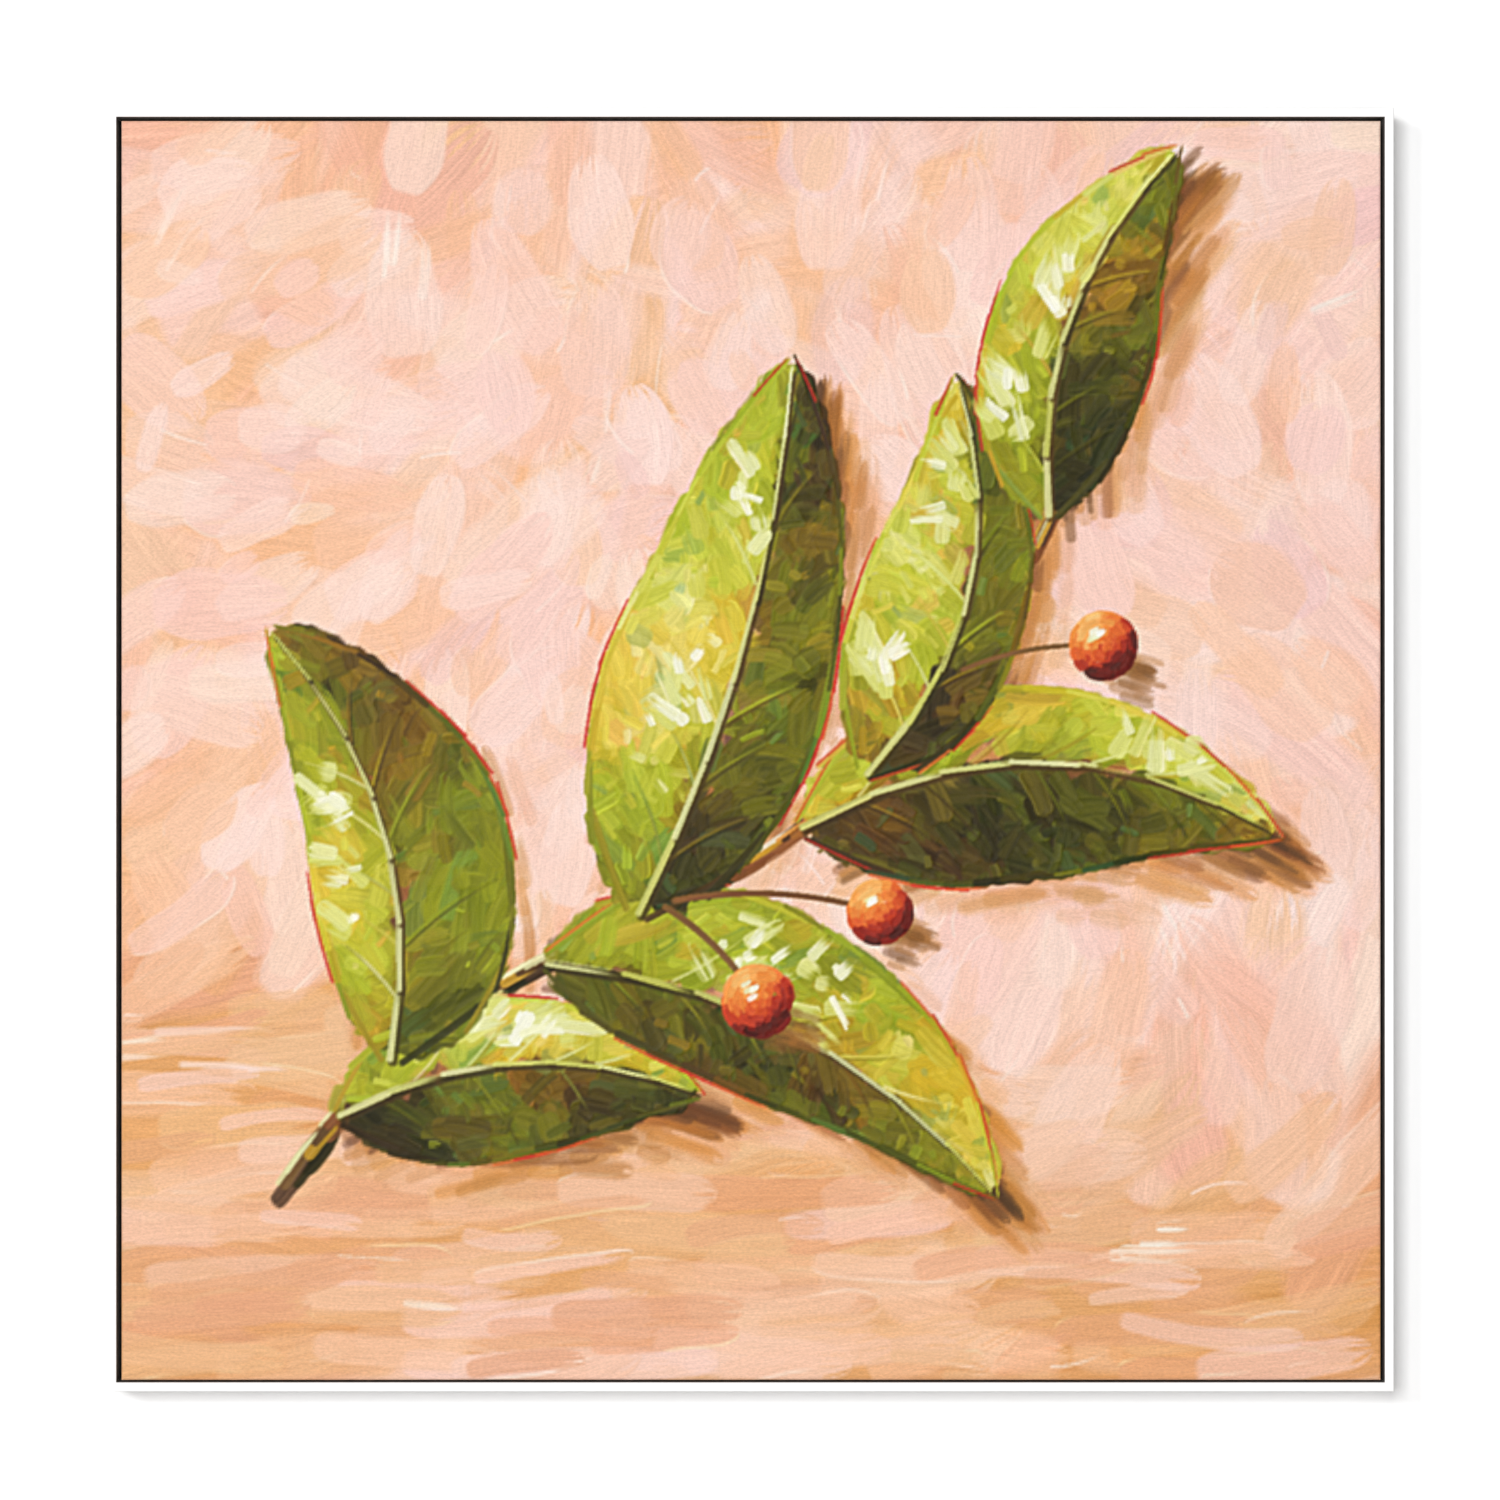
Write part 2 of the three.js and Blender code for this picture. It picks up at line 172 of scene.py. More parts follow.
class PICTURE_PG_studio(PropertyGroup):
    """Camera, light, wall and floor."""

    lens: FloatProperty(
        name="Lens", description="Focal length in millimetres", default=135, unit="CAMERA")
    across: length_setting("Across", "Width of the view at the front of the frame", 1088.5)
    floor: length_setting("Floor", "Height of the floor", -1420)
    main_lamp: power_setting("Main Lamp", "Power of the main lamp", 585)
    rake_lamp: power_setting("Rake Lamp", "Power of the lamp that picks out the paint's relief", 148)
    back_lamp: power_setting("Back Lamp", "Power of the lamp behind the picture", 240)
    sky: FloatProperty(name="Sky", description="Strength of the white light all round", default=0.2)
    backdrop: FloatProperty(
        name="Backdrop", description="How bright the sky itself looks", default=0.86)
    glow: FloatProperty(
        name="Wall Glow", description="Light that the wall gives off itself", default=0.02)


def sizes(group):
    """One of the picture's property groups on the current scene."""
    return getattr(bpy.context.scene, f"picture_{group}")


# ---------------------------------------------------------------- finishes


class Signal:
    """A shader socket that can be reckoned with: each operator adds the Math node that works it out."""

    def __init__(self, finish, socket):
        self.finish = finish
        self.socket = socket

    def output(self, name):
        """Another output of the same node."""
        return Signal(self.finish, self.socket.node.outputs[name])

    def math(self, operation, *values):
        """Adds a Math node on values that are signals or numbers."""
        return self.finish.node("ShaderNodeMath", {"operation": operation}, dict(enumerate(values)))

    def through(self, operation, *others):
        """This value put through any Math operation, with the others after it."""
        return self.math(operation, self, *others)

    def __add__(self, other):
        return self.through("ADD", other)

    def __sub__(self, other):
        return self.through("SUBTRACT", other)

    def __mul__(self, other):
        return self.through("MULTIPLY", other)

    def __truediv__(self, other):
        return self.through("DIVIDE", other)

    def __pow__(self, other):
        return self.through("POWER", other)

    def __abs__(self):
        return self.through("ABSOLUTE")

    def __rsub__(self, other):
        return self.math("SUBTRACT", other, self)

    def __rtruediv__(self, other):
        return self.math("DIVIDE", other, self)

    def __rpow__(self, other):
        return self.math("POWER", other, self)

    __radd__ = __add__
    __rmul__ = __mul__


class Finish:
    """A node material, or the nodes of a sky, that is being built up."""

    def __init__(self, owner):
        self.material = owner
        owner.use_nodes = True
        self.tree = owner.node_tree
        self.tree.nodes.clear()

    def node(self, kind, settings=None, sockets=None, output=0):
        """Adds a node of a type, with its settings first and then its sockets' values or links."""
        node = self.tree.nodes.new(kind)
        for key, value in (settings or {}).items():
            setattr(node, key, value)
        for key, value in (sockets or {}).items():
            if isinstance(value, Signal):
                self.tree.links.new(value.socket, node.inputs[key])
            elif hasattr(value, "__len__"):  # a colour may come with or without its fourth part
                wanted = len(node.inputs[key].default_value)
                node.inputs[key].default_value = (tuple(value) + (1,))[:wanted]
            else:
                node.inputs[key].default_value = value
        return Signal(self, node.outputs[output]) if node.outputs else None

    def place(self, about=(0, 0, 0), scale=(1, 1, 1)):
        """Object coordinates, measured from a point and then scaled."""
        where = self.node("ShaderNodeTexCoord", output="Object")
        shift = tuple(-a * s for a, s in zip(about, scale))
        return self.node("ShaderNodeMapping", {}, {"Vector": where, "Location": shift, "Scale": scale})

    def parts(self, vector):
        """The three parts of a vector."""
        x = self.node("ShaderNodeSeparateXYZ", {}, {"Vector": vector})
        return x, x.output("Y"), x.output("Z")

    def vector(self, x, y, z):
        """A vector from its three parts."""
        return self.node("ShaderNodeCombineXYZ", {}, {"X": x, "Y": y, "Z": z})

    def noise(self, vector, scale, detail=2.0, roughness=0.5):
        """Soft noise from 0 to 1."""
        return self.node("ShaderNodeTexNoise", {}, {
            "Vector": vector, "Scale": scale, "Detail": detail, "Roughness": roughness})

    def ramp(self, value, low, high):
        """A smooth step from 0 to 1 as value goes from low to high."""
        return self.node("ShaderNodeMapRange", {"interpolation_type": "SMOOTHSTEP"}, {
            "Value": value, "From Min": low, "From Max": high})

    def blend(self, first, second, factor, how="MIX"):
        """Two colours mixed by a factor."""
        return self.node("ShaderNodeMix", {"data_type": "RGBA", "blend_type": how},
                         {0: factor, 6: first, 7: second}, 2)

    def shaded(self, colour, level):
        """A colour made lighter or darker by a value near 1."""
        return self.node("ShaderNodeVectorMath", {"operation": "SCALE"}, {0: colour, "Scale": level})

    def surface(self, colour, roughness, height=None, deep=0.1 * MM, **constants):
        """Ends the material: height runs from 0 to 1 over the depth given, in metres."""
        sockets = {"Base Color": colour, "Roughness": roughness}
        if height is not None:
            sockets["Normal"] = self.node("ShaderNodeBump", {}, {
                "Strength": 1.0, "Distance": deep, "Height": height})
        sockets.update({key.replace("_", " "): value for key, value in constants.items()})
        shader = self.node("ShaderNodeBsdfPrincipled", {}, sockets)
        self.node("ShaderNodeOutputMaterial", {}, {"Surface": shader})
        return self.material


def finish(name, build, *details):
    """The material of that name, built the first time that it is asked for."""
    return bpy.data.materials.get(name) or build(Finish(bpy.data.materials.new(name)), *details)


def satin_lacquer(f):
    """Sprayed satin lacquer: a faint orange peel, with a little dust dulling it in places."""
    where = f.place()
    peel = f.noise(where, 420, 1.0)
    dull = f.noise(where, 9, 3.0, 0.6)
    colour = f.shaded(sizes("frame").lacquer, dull * 0.02 + 0.985)
    return f.surface(colour, dull * 0.16 + 0.3, peel * 0.7 + dull * 0.3, 0.05 * MM)


def gap_paint(f):
    """Thin matt black paint, brushed along the inside of the frame."""
    where = f.place()
    drag = f.noise(where, 160, 3.0, 0.7)
    colour = f.shaded(sizes("frame").gap, drag * 0.8 + 0.6)
    return f.surface(colour, drag * 0.25 + 0.55, drag, 0.06 * MM)


def bare_wood(f, level, centre, pale, ring_tone, pitch, chance, lacquered=None):
    """Planed wood whose growth rings run along a board, level or upright, that lies about a centre.
    lacquered is how much of it is under lacquer at each place, from 0 to 1."""
    where = f.place(centre)
    x, deep, z = f.parts(where)
    along, across = (x, z) if level else (z, x)
    drift = f.noise(f.vector(along * 2.2, across * 9, chance), 1.0, 2.0)
    sway = f.noise(f.vector(along * 14, across * 40, chance + 3.7), 1.0, 1.0)
    heart = 0.008 * sin(chance * 2.3)
    off = across + drift * 0.05 + sway * 0.003 - (0.025 + heart)
    under = deep + along * 0.012 * cos(chance) - 0.034
    ring = (off * off + under * under) ** 0.5 / pitch
    turn = ring.through("FRACT")
    late = f.ramp(turn, 0.35, 0.88) * f.ramp(turn, 1.0, 0.93)
    fibre = f.noise(f.vector(along * 26, across * 1500, deep * 1500), 1.0, 2.0, 0.6)
    cloud = f.noise(f.vector(along * 5, across * 22, chance + 8.1), 1.0, 2.0)
    pore = f.noise(f.vector(along * 70, across * 2600, deep * 2600), 1.0, 0.0)
    duct = f.ramp(pore, 0.69, 0.76)
    body = f.blend(pale, ring_tone, late * (cloud * 0.5 + 0.32))
    body = f.shaded(body, fibre * 0.22 + cloud * 0.2 + 0.79)
    colour = f.blend(body, tuple(c * 0.45 for c in ring_tone[:3]), duct * 0.42)
    if lacquered is not None:
        colour = f.blend(colour, sizes("frame").lacquer, lacquered)
    return f.surface(colour, fibre * 0.18 + late * -0.1 + 0.62, fibre * 0.5 + late * 0.3 - duct * 0.4,
                     0.09 * MM)


def pine(f, level, centre, chance):
    """Planed pine."""
    canvas = sizes("canvas")
    return bare_wood(f, level, centre, canvas.pine, canvas.pine_ring, 3.4 * MM, chance)


def key_wood(f):
    """The harder, closer wood of the stretcher's keys."""
    return bare_wood(f, True, CANVAS_CENTRE, (0.70, 0.50, 0.30), (0.52, 0.33, 0.17), 1.1 * MM, 4.4)


def rail_wood(f, level, centre, chance):
    """The pale timber of the frame, bare on its back but for what lacquer strayed over its edge."""
    high = FRAME_BOX[1]
    where = f.place()
    x, _, z = f.parts(where)
    sideways = (high.x - FRAME_CENTRE.x) - abs(x - FRAME_CENTRE.x)
    upright = (high.z - FRAME_CENTRE.z) - abs(z - FRAME_CENTRE.z)
    ragged = f.noise(where, 60, 4.0, 0.7)
    speckle = f.noise(where, 900, 1.0)
    inward = sideways.through("MINIMUM", upright) - ragged * 0.005 + speckle * 0.0015
    stray = f.ramp(inward, 0.4 * MM, -1.4 * MM)
    return bare_wood(f, level, centre, (0.66, 0.5, 0.34), (0.5, 0.34, 0.2), 2.1 * MM, chance, stray)


def weave(f, u, v, pitch):
    """Plain weave: how high the cloth stands, and how much each thread's own tone differs."""
    waver = f.noise(f.vector(u, v, 0), 35, 2.0)
    across = (u + waver * 0.9 * pitch) / pitch
    along = (v - waver * 0.9 * pitch) / pitch

    over = f.ramp((across * pi).through("COSINE") * (along * pi).through("COSINE"), -0.25, 0.25)
    warp, weft = (abs(((threads + 0.5) * pi).through("SINE")) for threads in (across, along))
    height = warp * over + weft * (1 - over)

    def slub(position, other):
        return f.noise(f.vector(position.through("ROUND") * 7.3, other * 0.05, 0), 1.0, 1.0)

    tone = slub(across, along) * over + slub(along, across) * (1 - over)
    return height, tone


def cloth_places(f):
    """The cloth's own lengthwise and crosswise coordinates, in metres, from its UV map."""
    u, v, _ = f.parts(f.node("ShaderNodeUVMap", {"uv_map": "weave"}))
    return u, v


def bare_cotton(f):
    """The unprimed side of the cloth, seen from behind between the bars."""
    u, v = cloth_places(f)
    height, tone = weave(f, u, v, sizes("canvas").thread)
    cloud = f.noise(f.vector(u, v, 0), 6, 3.0, 0.6)
    seeds = f.ramp(f.noise(f.vector(u, v, 5.0), 330, 0.0), 0.74, 0.78)
    # painted shade: the weave's height makes the cloth darker between its threads and lighter on their
    # crowns
    colour = f.shaded(sizes("canvas").cotton, tone * 0.3 + height * 0.16 + cloud * 0.14 + 0.7)
    colour = f.blend(colour, (0.2, 0.13, 0.06), seeds * 0.7)
    return f.surface(colour, 0.92, height + tone * 0.4, 0.12 * MM, Sheen_Weight=0.15)


def primed_cotton(f):
    """The primed side: white ground filling the weave, with the painting's colours over its edge."""
    u, v = cloth_places(f)
    height, tone = weave(f, u, v, sizes("canvas").thread)
    where = f.place()
    _, deep, z = f.parts(where)
    front = CLOTH_BOX[0].y
    ragged = f.noise(where, 22, 4.0, 0.65)
    strayed = f.ramp(deep - ragged * 0.016, front + 1 * MM, front - 4 * MM)
    group = sizes("painting")
    upper, lower = (tuple(part ** SCREEN_CURVE for part in mix) for mix in (group.ground, group.table))
    turned = f.ramp(z + f.noise(where, 7, 2.0) * 0.15, CANVAS_CENTRE.z - 0.02, CANVAS_CENTRE.z - 0.24)
    edge_tone = f.blend(upper, lower, turned)
    cloud = f.noise(where, 5, 3.0, 0.6)
    brushed = f.noise(f.vector(u * 30, v * 400, 1.0), 1.0, 2.0)
    # painted shade: the weave's height makes the primer a little darker between threads and lighter on
    # their crowns
    primer = f.shaded(sizes("canvas").primer, cloud * 0.09 + height * 0.04 + 0.93)
    colour = f.blend(primer, f.shaded(edge_tone, brushed * 0.2 + 0.9), strayed)
    return f.surface(colour, tone * 0.12 + 0.7, height * 0.6 + brushed * 0.25, 0.07 * MM)


def brushed_oil(f):
    """Brushed oil paint: its tone and depth come with the film, and its finest bristle marks from here."""
    paint = f.node("ShaderNodeAttribute", {"attribute_name": "paint"}, {}, "Color")
    thick = paint.output("Alpha")
    across, along, _ = f.parts(f.node("ShaderNodeUVMap", {"uv_map": "bristles"}))
    fine = f.noise(f.vector(across * 720, along * 42, 0), 1.0, 2.0, 0.65)
    broad = f.noise(f.vector(across * 300, along * 18, 4.0), 1.0, 1.0)
    tooth = f.noise(f.place(scale=(330, 1, 620)), 1.0, 2.0, 0.6)
    thin = 1 - f.ramp(thick, 0.15, 0.6)
    grain = (tooth - 0.5) * (thin * 0.6 + 0.4)
    level = (fine - 0.5) * 0.28 + (broad - 0.5) * 0.1 + grain * 0.4 + 0.85
    colour = f.shaded(paint, level)
    roughness = fine * 0.2 + 0.56 - thick * 0.2
    height = fine * 0.5 + broad * 0.3 + grain * 0.8
    return f.surface(colour, roughness, height, 0.3 * MM, Specular_IOR_Level=0.12)


def plated_steel(f, tone):
    """Plated sheet or wire: fine drawn scratches and a slightly clouded plating."""
    where = f.place()
    cloud = f.noise(where, 130, 3.0, 0.6)
    scratch = f.noise(f.place(scale=(40, 40, 1800)), 1.0, 2.0, 0.7)
    spots = f.ramp(f.noise(where, 700, 1.0), 0.7, 0.8)
    colour = f.shaded(tone, cloud * 0.4 + scratch * 0.14 + 0.68)
    return f.surface(colour, cloud * 0.3 + scratch * 0.14 + spots * 0.2 + 0.16, scratch + cloud,
                     0.02 * MM, Metallic=1.0)


def pressed_felt(f):
    """Pressed grey felt with fibres of mixed tone."""
    where = f.place()
    fibre = f.noise(where, 1600, 3.0, 0.75)
    curl = f.noise(where, 420, 2.0, 0.8)
    colour = f.shaded(sizes("fixings").felt, fibre * 0.9 + curl * 0.5 + 0.35)
    return f.surface(colour, 0.95, fibre * 0.6 + curl * 0.5, 0.5 * MM, Sheen_Weight=0.5,
                     Sheen_Roughness=0.5)


ZINC = (0.60, 0.61, 0.63)
BRASS = (0.72, 0.53, 0.26)
STAPLE = (0.4, 0.39, 0.37)


# ---------------------------------------------------------------- making pieces


def linked(name, data):
    """A new object in the scene."""
    made = bpy.data.objects.new(name, data)
    bpy.context.scene.collection.objects.link(made)
    return made


def placed(name, mesh, materials, stands_for=()):
    """Puts a finished mesh in the scene as a piece of the picture that stands for CAD nodes."""
    for material in materials:
        mesh.materials.append(material)
    piece = linked(name, mesh)
    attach(piece, "root")
    if stands_for:
        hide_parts(*stands_for)
    return piece


def plain_mesh(name, bm):
    """A mesh from a bmesh, just as it is."""
    mesh = bpy.data.meshes.new(name)
    bm.to_mesh(mesh)
    bm.free()
    return mesh


def meshed(name, bm, sharp=35):
    """A mesh from a bmesh, shaded smooth except across edges sharper than an angle in degrees."""
    for face in bm.faces:
        face.smooth = True
    for edge in bm.edges:
        edge.smooth = edge.is_manifold and edge.calc_face_angle(0) < radians(sharp)
    return plain_mesh(name, bm)


def values_of(items, attribute, width=1, kind=float):
    """One attribute of all of a mesh's vertices, corners or faces."""
    values = np.empty(len(items) * width, kind)
    items.foreach_get(attribute, values)
    return values.reshape(-1, width) if width > 1 else values


def corners_of(mesh):
    """The vertex at each corner of a mesh's faces, and how many corners each face has."""
    return (values_of(mesh.loops, "vertex_index", kind=np.int32),
            values_of(mesh.polygons, "loop_total", kind=np.int32))


def evened(piece):
    """Keeps a piece's flat faces flat in its shading where they meet a rounded edge."""
    modifier = piece.modifiers.new("Even Shading", "WEIGHTED_NORMAL")
    modifier.keep_sharp = True
    return piece


def rounded(bm, edges, radius, segments=3):
    """Rounds edges off."""
    bmesh.ops.bevel(bm, geom=edges, offset=radius, offset_type="OFFSET", segments=segments,
                    profile=0.5, affect="EDGES", clamp_overlap=True, material=-1)


def creases(bm, angle, shortest=0):
    """The edges over some length where two faces meet at more than an angle in degrees."""
    return [e for e in bm.edges if e.is_manifold and e.calc_length() > shortest
            and e.calc_face_angle(0) > radians(angle)]


def open_edges(edges):
    """Those edges that have a face on one side only."""
    return [edge for edge in edges if edge.is_boundary]


def shifted(bm, made, by):
    """Moves the vertices among what an operator has just made."""
    verts = [part for part in made if isinstance(part, bmesh.types.BMVert)]
    bmesh.ops.translate(bm, vec=by, verts=verts)


def thickened(bm, faces, by):
    """Draws faces out into a closed solid."""
    shifted(bm, bmesh.ops.extrude_face_region(bm, geom=faces)["geom"], by)
    bmesh.ops.recalc_face_normals(bm, faces=bm.faces)


def drawn_out(bm, ring, by):
    """Draws a ring of edges out, and gives the new ring back."""
    made = bmesh.ops.extrude_edge_only(bm, edges=ring)["geom"]
    shifted(bm, made, by)
    return open_edges(part for part in made if isinstance(part, bmesh.types.BMEdge))


BOARD_EDGE = 8 * MM  # shortest edge of a board that is rounded
SMALL_EDGE = 3 * MM  # shortest edge of a small part that is rounded


def eased(name, node, material, radius=0, shortest=SMALL_EDGE, sharp=35):
    """A piece that copies a CAD node, with its long sharp edges rounded."""
    bm = bmesh.new()
    bm.from_mesh(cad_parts[node].data)
    bmesh.ops.remove_doubles(bm, verts=bm.verts, dist=0.01 * MM)
    bmesh.ops.dissolve_limit(bm, angle_limit=radians(1), verts=bm.verts, edges=bm.edges)
    if radius:
        rounded(bm, creases(bm, 25, shortest), radius, 2)
    return placed(name, meshed(node, bm, sharp), [material], [node])


def is_level(side):
    """Whether a side of the picture runs from left to right."""
    return side in ("top", "bottom")


def laid_on(bm, side, centre, width, height):
    """Turns a piece that was made as the top side of a rectangle, and puts it on any side."""
    turn = SIDE_TURNS[side]
    reach = (height if is_level(side) else width) / 2
    to = Vector((centre.x + sin(turn) * reach, 0, centre.z + cos(turn) * reach))
    bmesh.ops.transform(bm, matrix=Matrix.Translation(to) @ Matrix.Rotation(turn, 4, "Y"),
                        verts=bm.verts)


def middle_of(node):
    """The middle of a CAD node's box."""
    low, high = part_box(node)
    return (low + high) / 2


# ---------------------------------------------------------------- the frame

RAIL_FINISHES = ("lacquer", "gap", "wood")


def rail_shell(side):
    """One L-shaped rail with mitred ends and rounded edges, made as the top side."""
    group, low = sizes("frame"), FRAME_BOX[0]
    length = FRAME_SPAN.x if is_level(side) else FRAME_SPAN.z
    reach = group.wall + group.ledge
    section = [(0, 0), (reach, 0), (reach, -group.ledge_thick), (group.wall, -group.ledge_thick),
               (group.wall, low.y), (0, low.y)]
    bm = bmesh.new()
    end = bm.faces.new([bm.verts.new((-length, y, -v)) for v, y in section])
    thickened(bm, [end], (2 * length, 0, 0))
    inner_corner = Vector((0, -group.ledge_thick, -group.wall))
    long = [e for e in bm.edges if abs(e.verts[0].co.x - e.verts[1].co.x) > length
            and (e.verts[0].co.yz - inner_corner.yz).length > NEAR]
    rounded(bm, long, group.rounding)
    for direction in (-1, 1):
        where = Vector((direction * (length - group.mitre_gap) / 2, 0, 0))
        cut = bmesh.ops.bisect_plane(bm, geom=bm.verts[:] + bm.edges[:] + bm.faces[:], dist=1e-7,
                                     plane_co=where, plane_no=Vector((direction, 0, -1)).normalized(),
                                     clear_outer=True)
        rim = [e for e in cut["geom_cut"] if isinstance(e, bmesh.types.BMEdge)]
        bmesh.ops.contextual_create(bm, geom=rim)
    bmesh.ops.recalc_face_normals(bm, faces=bm.faces)
    for face in bm.faces:
        middle, out = face.calc_center_median(), face.normal
        inward = -middle.z
        if out.y > 0.9 or abs(out.x) > 0.5 or inward > reach - NEAR:
            finished = "wood"
        elif inward > group.wall - NEAR and middle.y > low.y + group.rounding:
            finished = "gap"
        else:
            finished = "lacquer"
        face.material_index = RAIL_FINISHES.index(finished)
    return bm


class PICTURE_OT_frame_rails(Operator):
    """Makes the four rails of the white frame"""

    bl_idname = "picture.frame_rails"
    bl_label = "Frame Rails"

    def execute(self, context):
        for i, side in enumerate(SIDES):
            bm = rail_shell(side)
            laid_on(bm, side, FRAME_CENTRE, FRAME_SPAN.x, FRAME_SPAN.z)
            node = f"rail_{side}"
            wood = finish(f"rail_wood_{side}", rail_wood, is_level(side), middle_of(node), 1.3 + 2.1 * i)
            materials = [finish("satin_lacquer", satin_lacquer), finish("gap_paint", gap_paint), wood]
            evened(placed(f"frame_{side}", meshed(node, bm), materials, [node]))
        return {"FINISHED"}


WEDGE_INSETS = (11 * MM, 27 * MM)  # from the frame's outer corner to the middle of each nail
WEDGE_TIP = 0.5  # from the middle to the V's point, as a share of its size
WEDGE_LEGS = (0.8, 0.75)  # from the point to a leg's end, inward and sideways, as shares of its size
WEDGE_THICK = 0.91 * MM  # along the way that the point faces
WEDGE_PROUD = 0.12 * MM
WEDGE_DEEP = 5 * MM


class PICTURE_OT_wedge_nails(Operator):
    """Makes the V-shaped steel nails that pull each mitre of the frame together from behind"""

    bl_idname = "picture.wedge_nails"
    bl_label = "Wedge Nails"

    def execute(self, context):
        steel = finish("zinc_plate", plated_steel, ZINC)
        for name, (across, up) in CORNERS.items():
            bm = bmesh.new()
            outward = Vector((across, 0, up)).normalized()
            corner = Vector((FRAME_CENTRE.x + across * FRAME_SPAN.x / 2, 0,
                             FRAME_CENTRE.z + up * FRAME_SPAN.z / 2))
            for inset in WEDGE_INSETS:
                add_wedge(bm, corner - outward * inset, outward)
            placed(f"wedge_nails_{name}", meshed("wedge_nails", bm), [steel])
        return {"FINISHED"}


def add_wedge(bm, middle, outward):
    """A V of thin steel whose point is towards the frame's outer corner, driven in almost flush."""
    size = sizes("fixings").wedge
    inward, sideways = (size * share for share in WEDGE_LEGS)
    side = Vector((-outward.z, 0, outward.x))
    apex = middle + outward * size * WEDGE_TIP
    ends = [apex - outward * inward + side * hand * sideways for hand in (-1, 1)]
    inner = outward * -WEDGE_THICK
    outline = [ends[0], apex, ends[1], ends[1] + inner, apex + inner, ends[0] + inner]
    verts = [bm.verts.new((p.x, FRAME_BOX[1].y - WEDGE_DEEP, p.z)) for p in outline]
    halves = [bm.faces.new([verts[k] for k in ring]) for ring in ((0, 1, 4, 5), (1, 2, 3, 4))]
    thickened(bm, halves, (0, WEDGE_DEEP + WEDGE_PROUD, 0))


# ---------------------------------------------------------------- the stretcher

KEY_EASING = 0.35 * MM


class PICTURE_OT_stretcher(Operator):
    """Makes the pine bars, their two braces and the keys in their corners"""

    bl_idname = "picture.stretcher"
    bl_label = "Stretcher"

    def execute(self, context):
        boards = [(f"stretcher_{side}", is_level(side)) for side in SIDES]
        boards += [("brace_level", True), ("brace_upright", False)]
        for i, (node, level) in enumerate(boards):
            wood = finish(f"pine_{node}", pine, level, middle_of(node), 2.9 * i + 0.7)
            evened(eased(f"{node}_eased", node, wood, sizes("canvas").easing, BOARD_EDGE))
        wood = finish("key_wood", key_wood)
        for side in SIDES:
            for mark in "ab":
                node = f"key_{side}_{mark}"
                eased(f"{node}_eased", node, wood, KEY_EASING)
        return {"FINISHED"}


# ---------------------------------------------------------------- the cloth

CLOTH_STEPS = 96  # edges along each side of the cloth
HEM_RINGS = (0.36, 0.3, 0.2, 0.14)  # shares of the hem's width, from the fold to the cut edge
HEM_PUCKER = 0.9 * MM  # most that the hem stands off the bar between its staples
HELD_FLAT = 20 * MM  # width of hem that the staples hold flat
HELD_TO_EDGE = 13 * MM  # width over which it is then more and more free to stand off
STAPLED_SHARE = 0.9  # how much of a side its row of staples takes up
# the waves of the scissors' cut: height in millimetres, radians to a metre, and turn from side to side
CUT_WAVES = ((0.9, 23, 1.7), (0.5, 61, 1), (0.3, 141, 0))
CUT_STRAIGHT = 1.5  # how far from a corner the cut stays straight, in widths of the hem


def edge_place(point):
    """How far a point of the cloth is in from its side, how far along that side, and which side it is."""
    x, z = point.x - CANVAS_CENTRE.x, point.z - CANVAS_CENTRE.z
    inward = CANVAS_HALF - max(abs(x), abs(z))
    if abs(x) > abs(z):
        return inward, z, 1 if x > 0 else 3
    return inward, x, 0 if z > 0 else 2


def staple_places():
    """Where staples lie along a side, from its middle."""
    count = sizes("fixings").staple_count
    pitch = 2 * CANVAS_HALF * STAPLED_SHARE / (count - 1)
    return [(i - (count - 1) / 2) * pitch for i in range(count)], pitch


def hem_lift(inward, along, side):
    """How far the hem stands off the bar: it is held down at its staples and puckers between them."""
    _, pitch = staple_places()
    free = max(0.0, (inward - HELD_FLAT) / HELD_TO_EDGE)
    wave = 0.5 - 0.5 * cos(2 * pi * (along / pitch + 0.5))
    own = 0.65 + 0.35 * sin(along * 31 + side * 2.1)  # no two puckers are of one height
    return HEM_PUCKER * free * wave * own


def cut_wander(along, side):
    """How far the scissors strayed from a straight line."""
    return MM * sum(height * sin(along * tight + side * turn) for height, tight, turn in CUT_WAVES)


def ruffle_hem(bm):
    """Puckers the hem between its staples, and makes its cut edge a little uneven."""
    group, back = sizes("canvas"), CLOTH_BOX[1].y
    for vert in bm.verts:
        inward, along, side = edge_place(vert.co)
        if vert.co.y > back - NEAR:
            lift = hem_lift(inward, along, side)
            if inward > group.hem - NEAR and abs(along) < CANVAS_HALF - CUT_STRAIGHT * group.hem:
                vert.co += Vector(SIDES_OUT[side]) * cut_wander(along, side)
            vert.co.y += lift


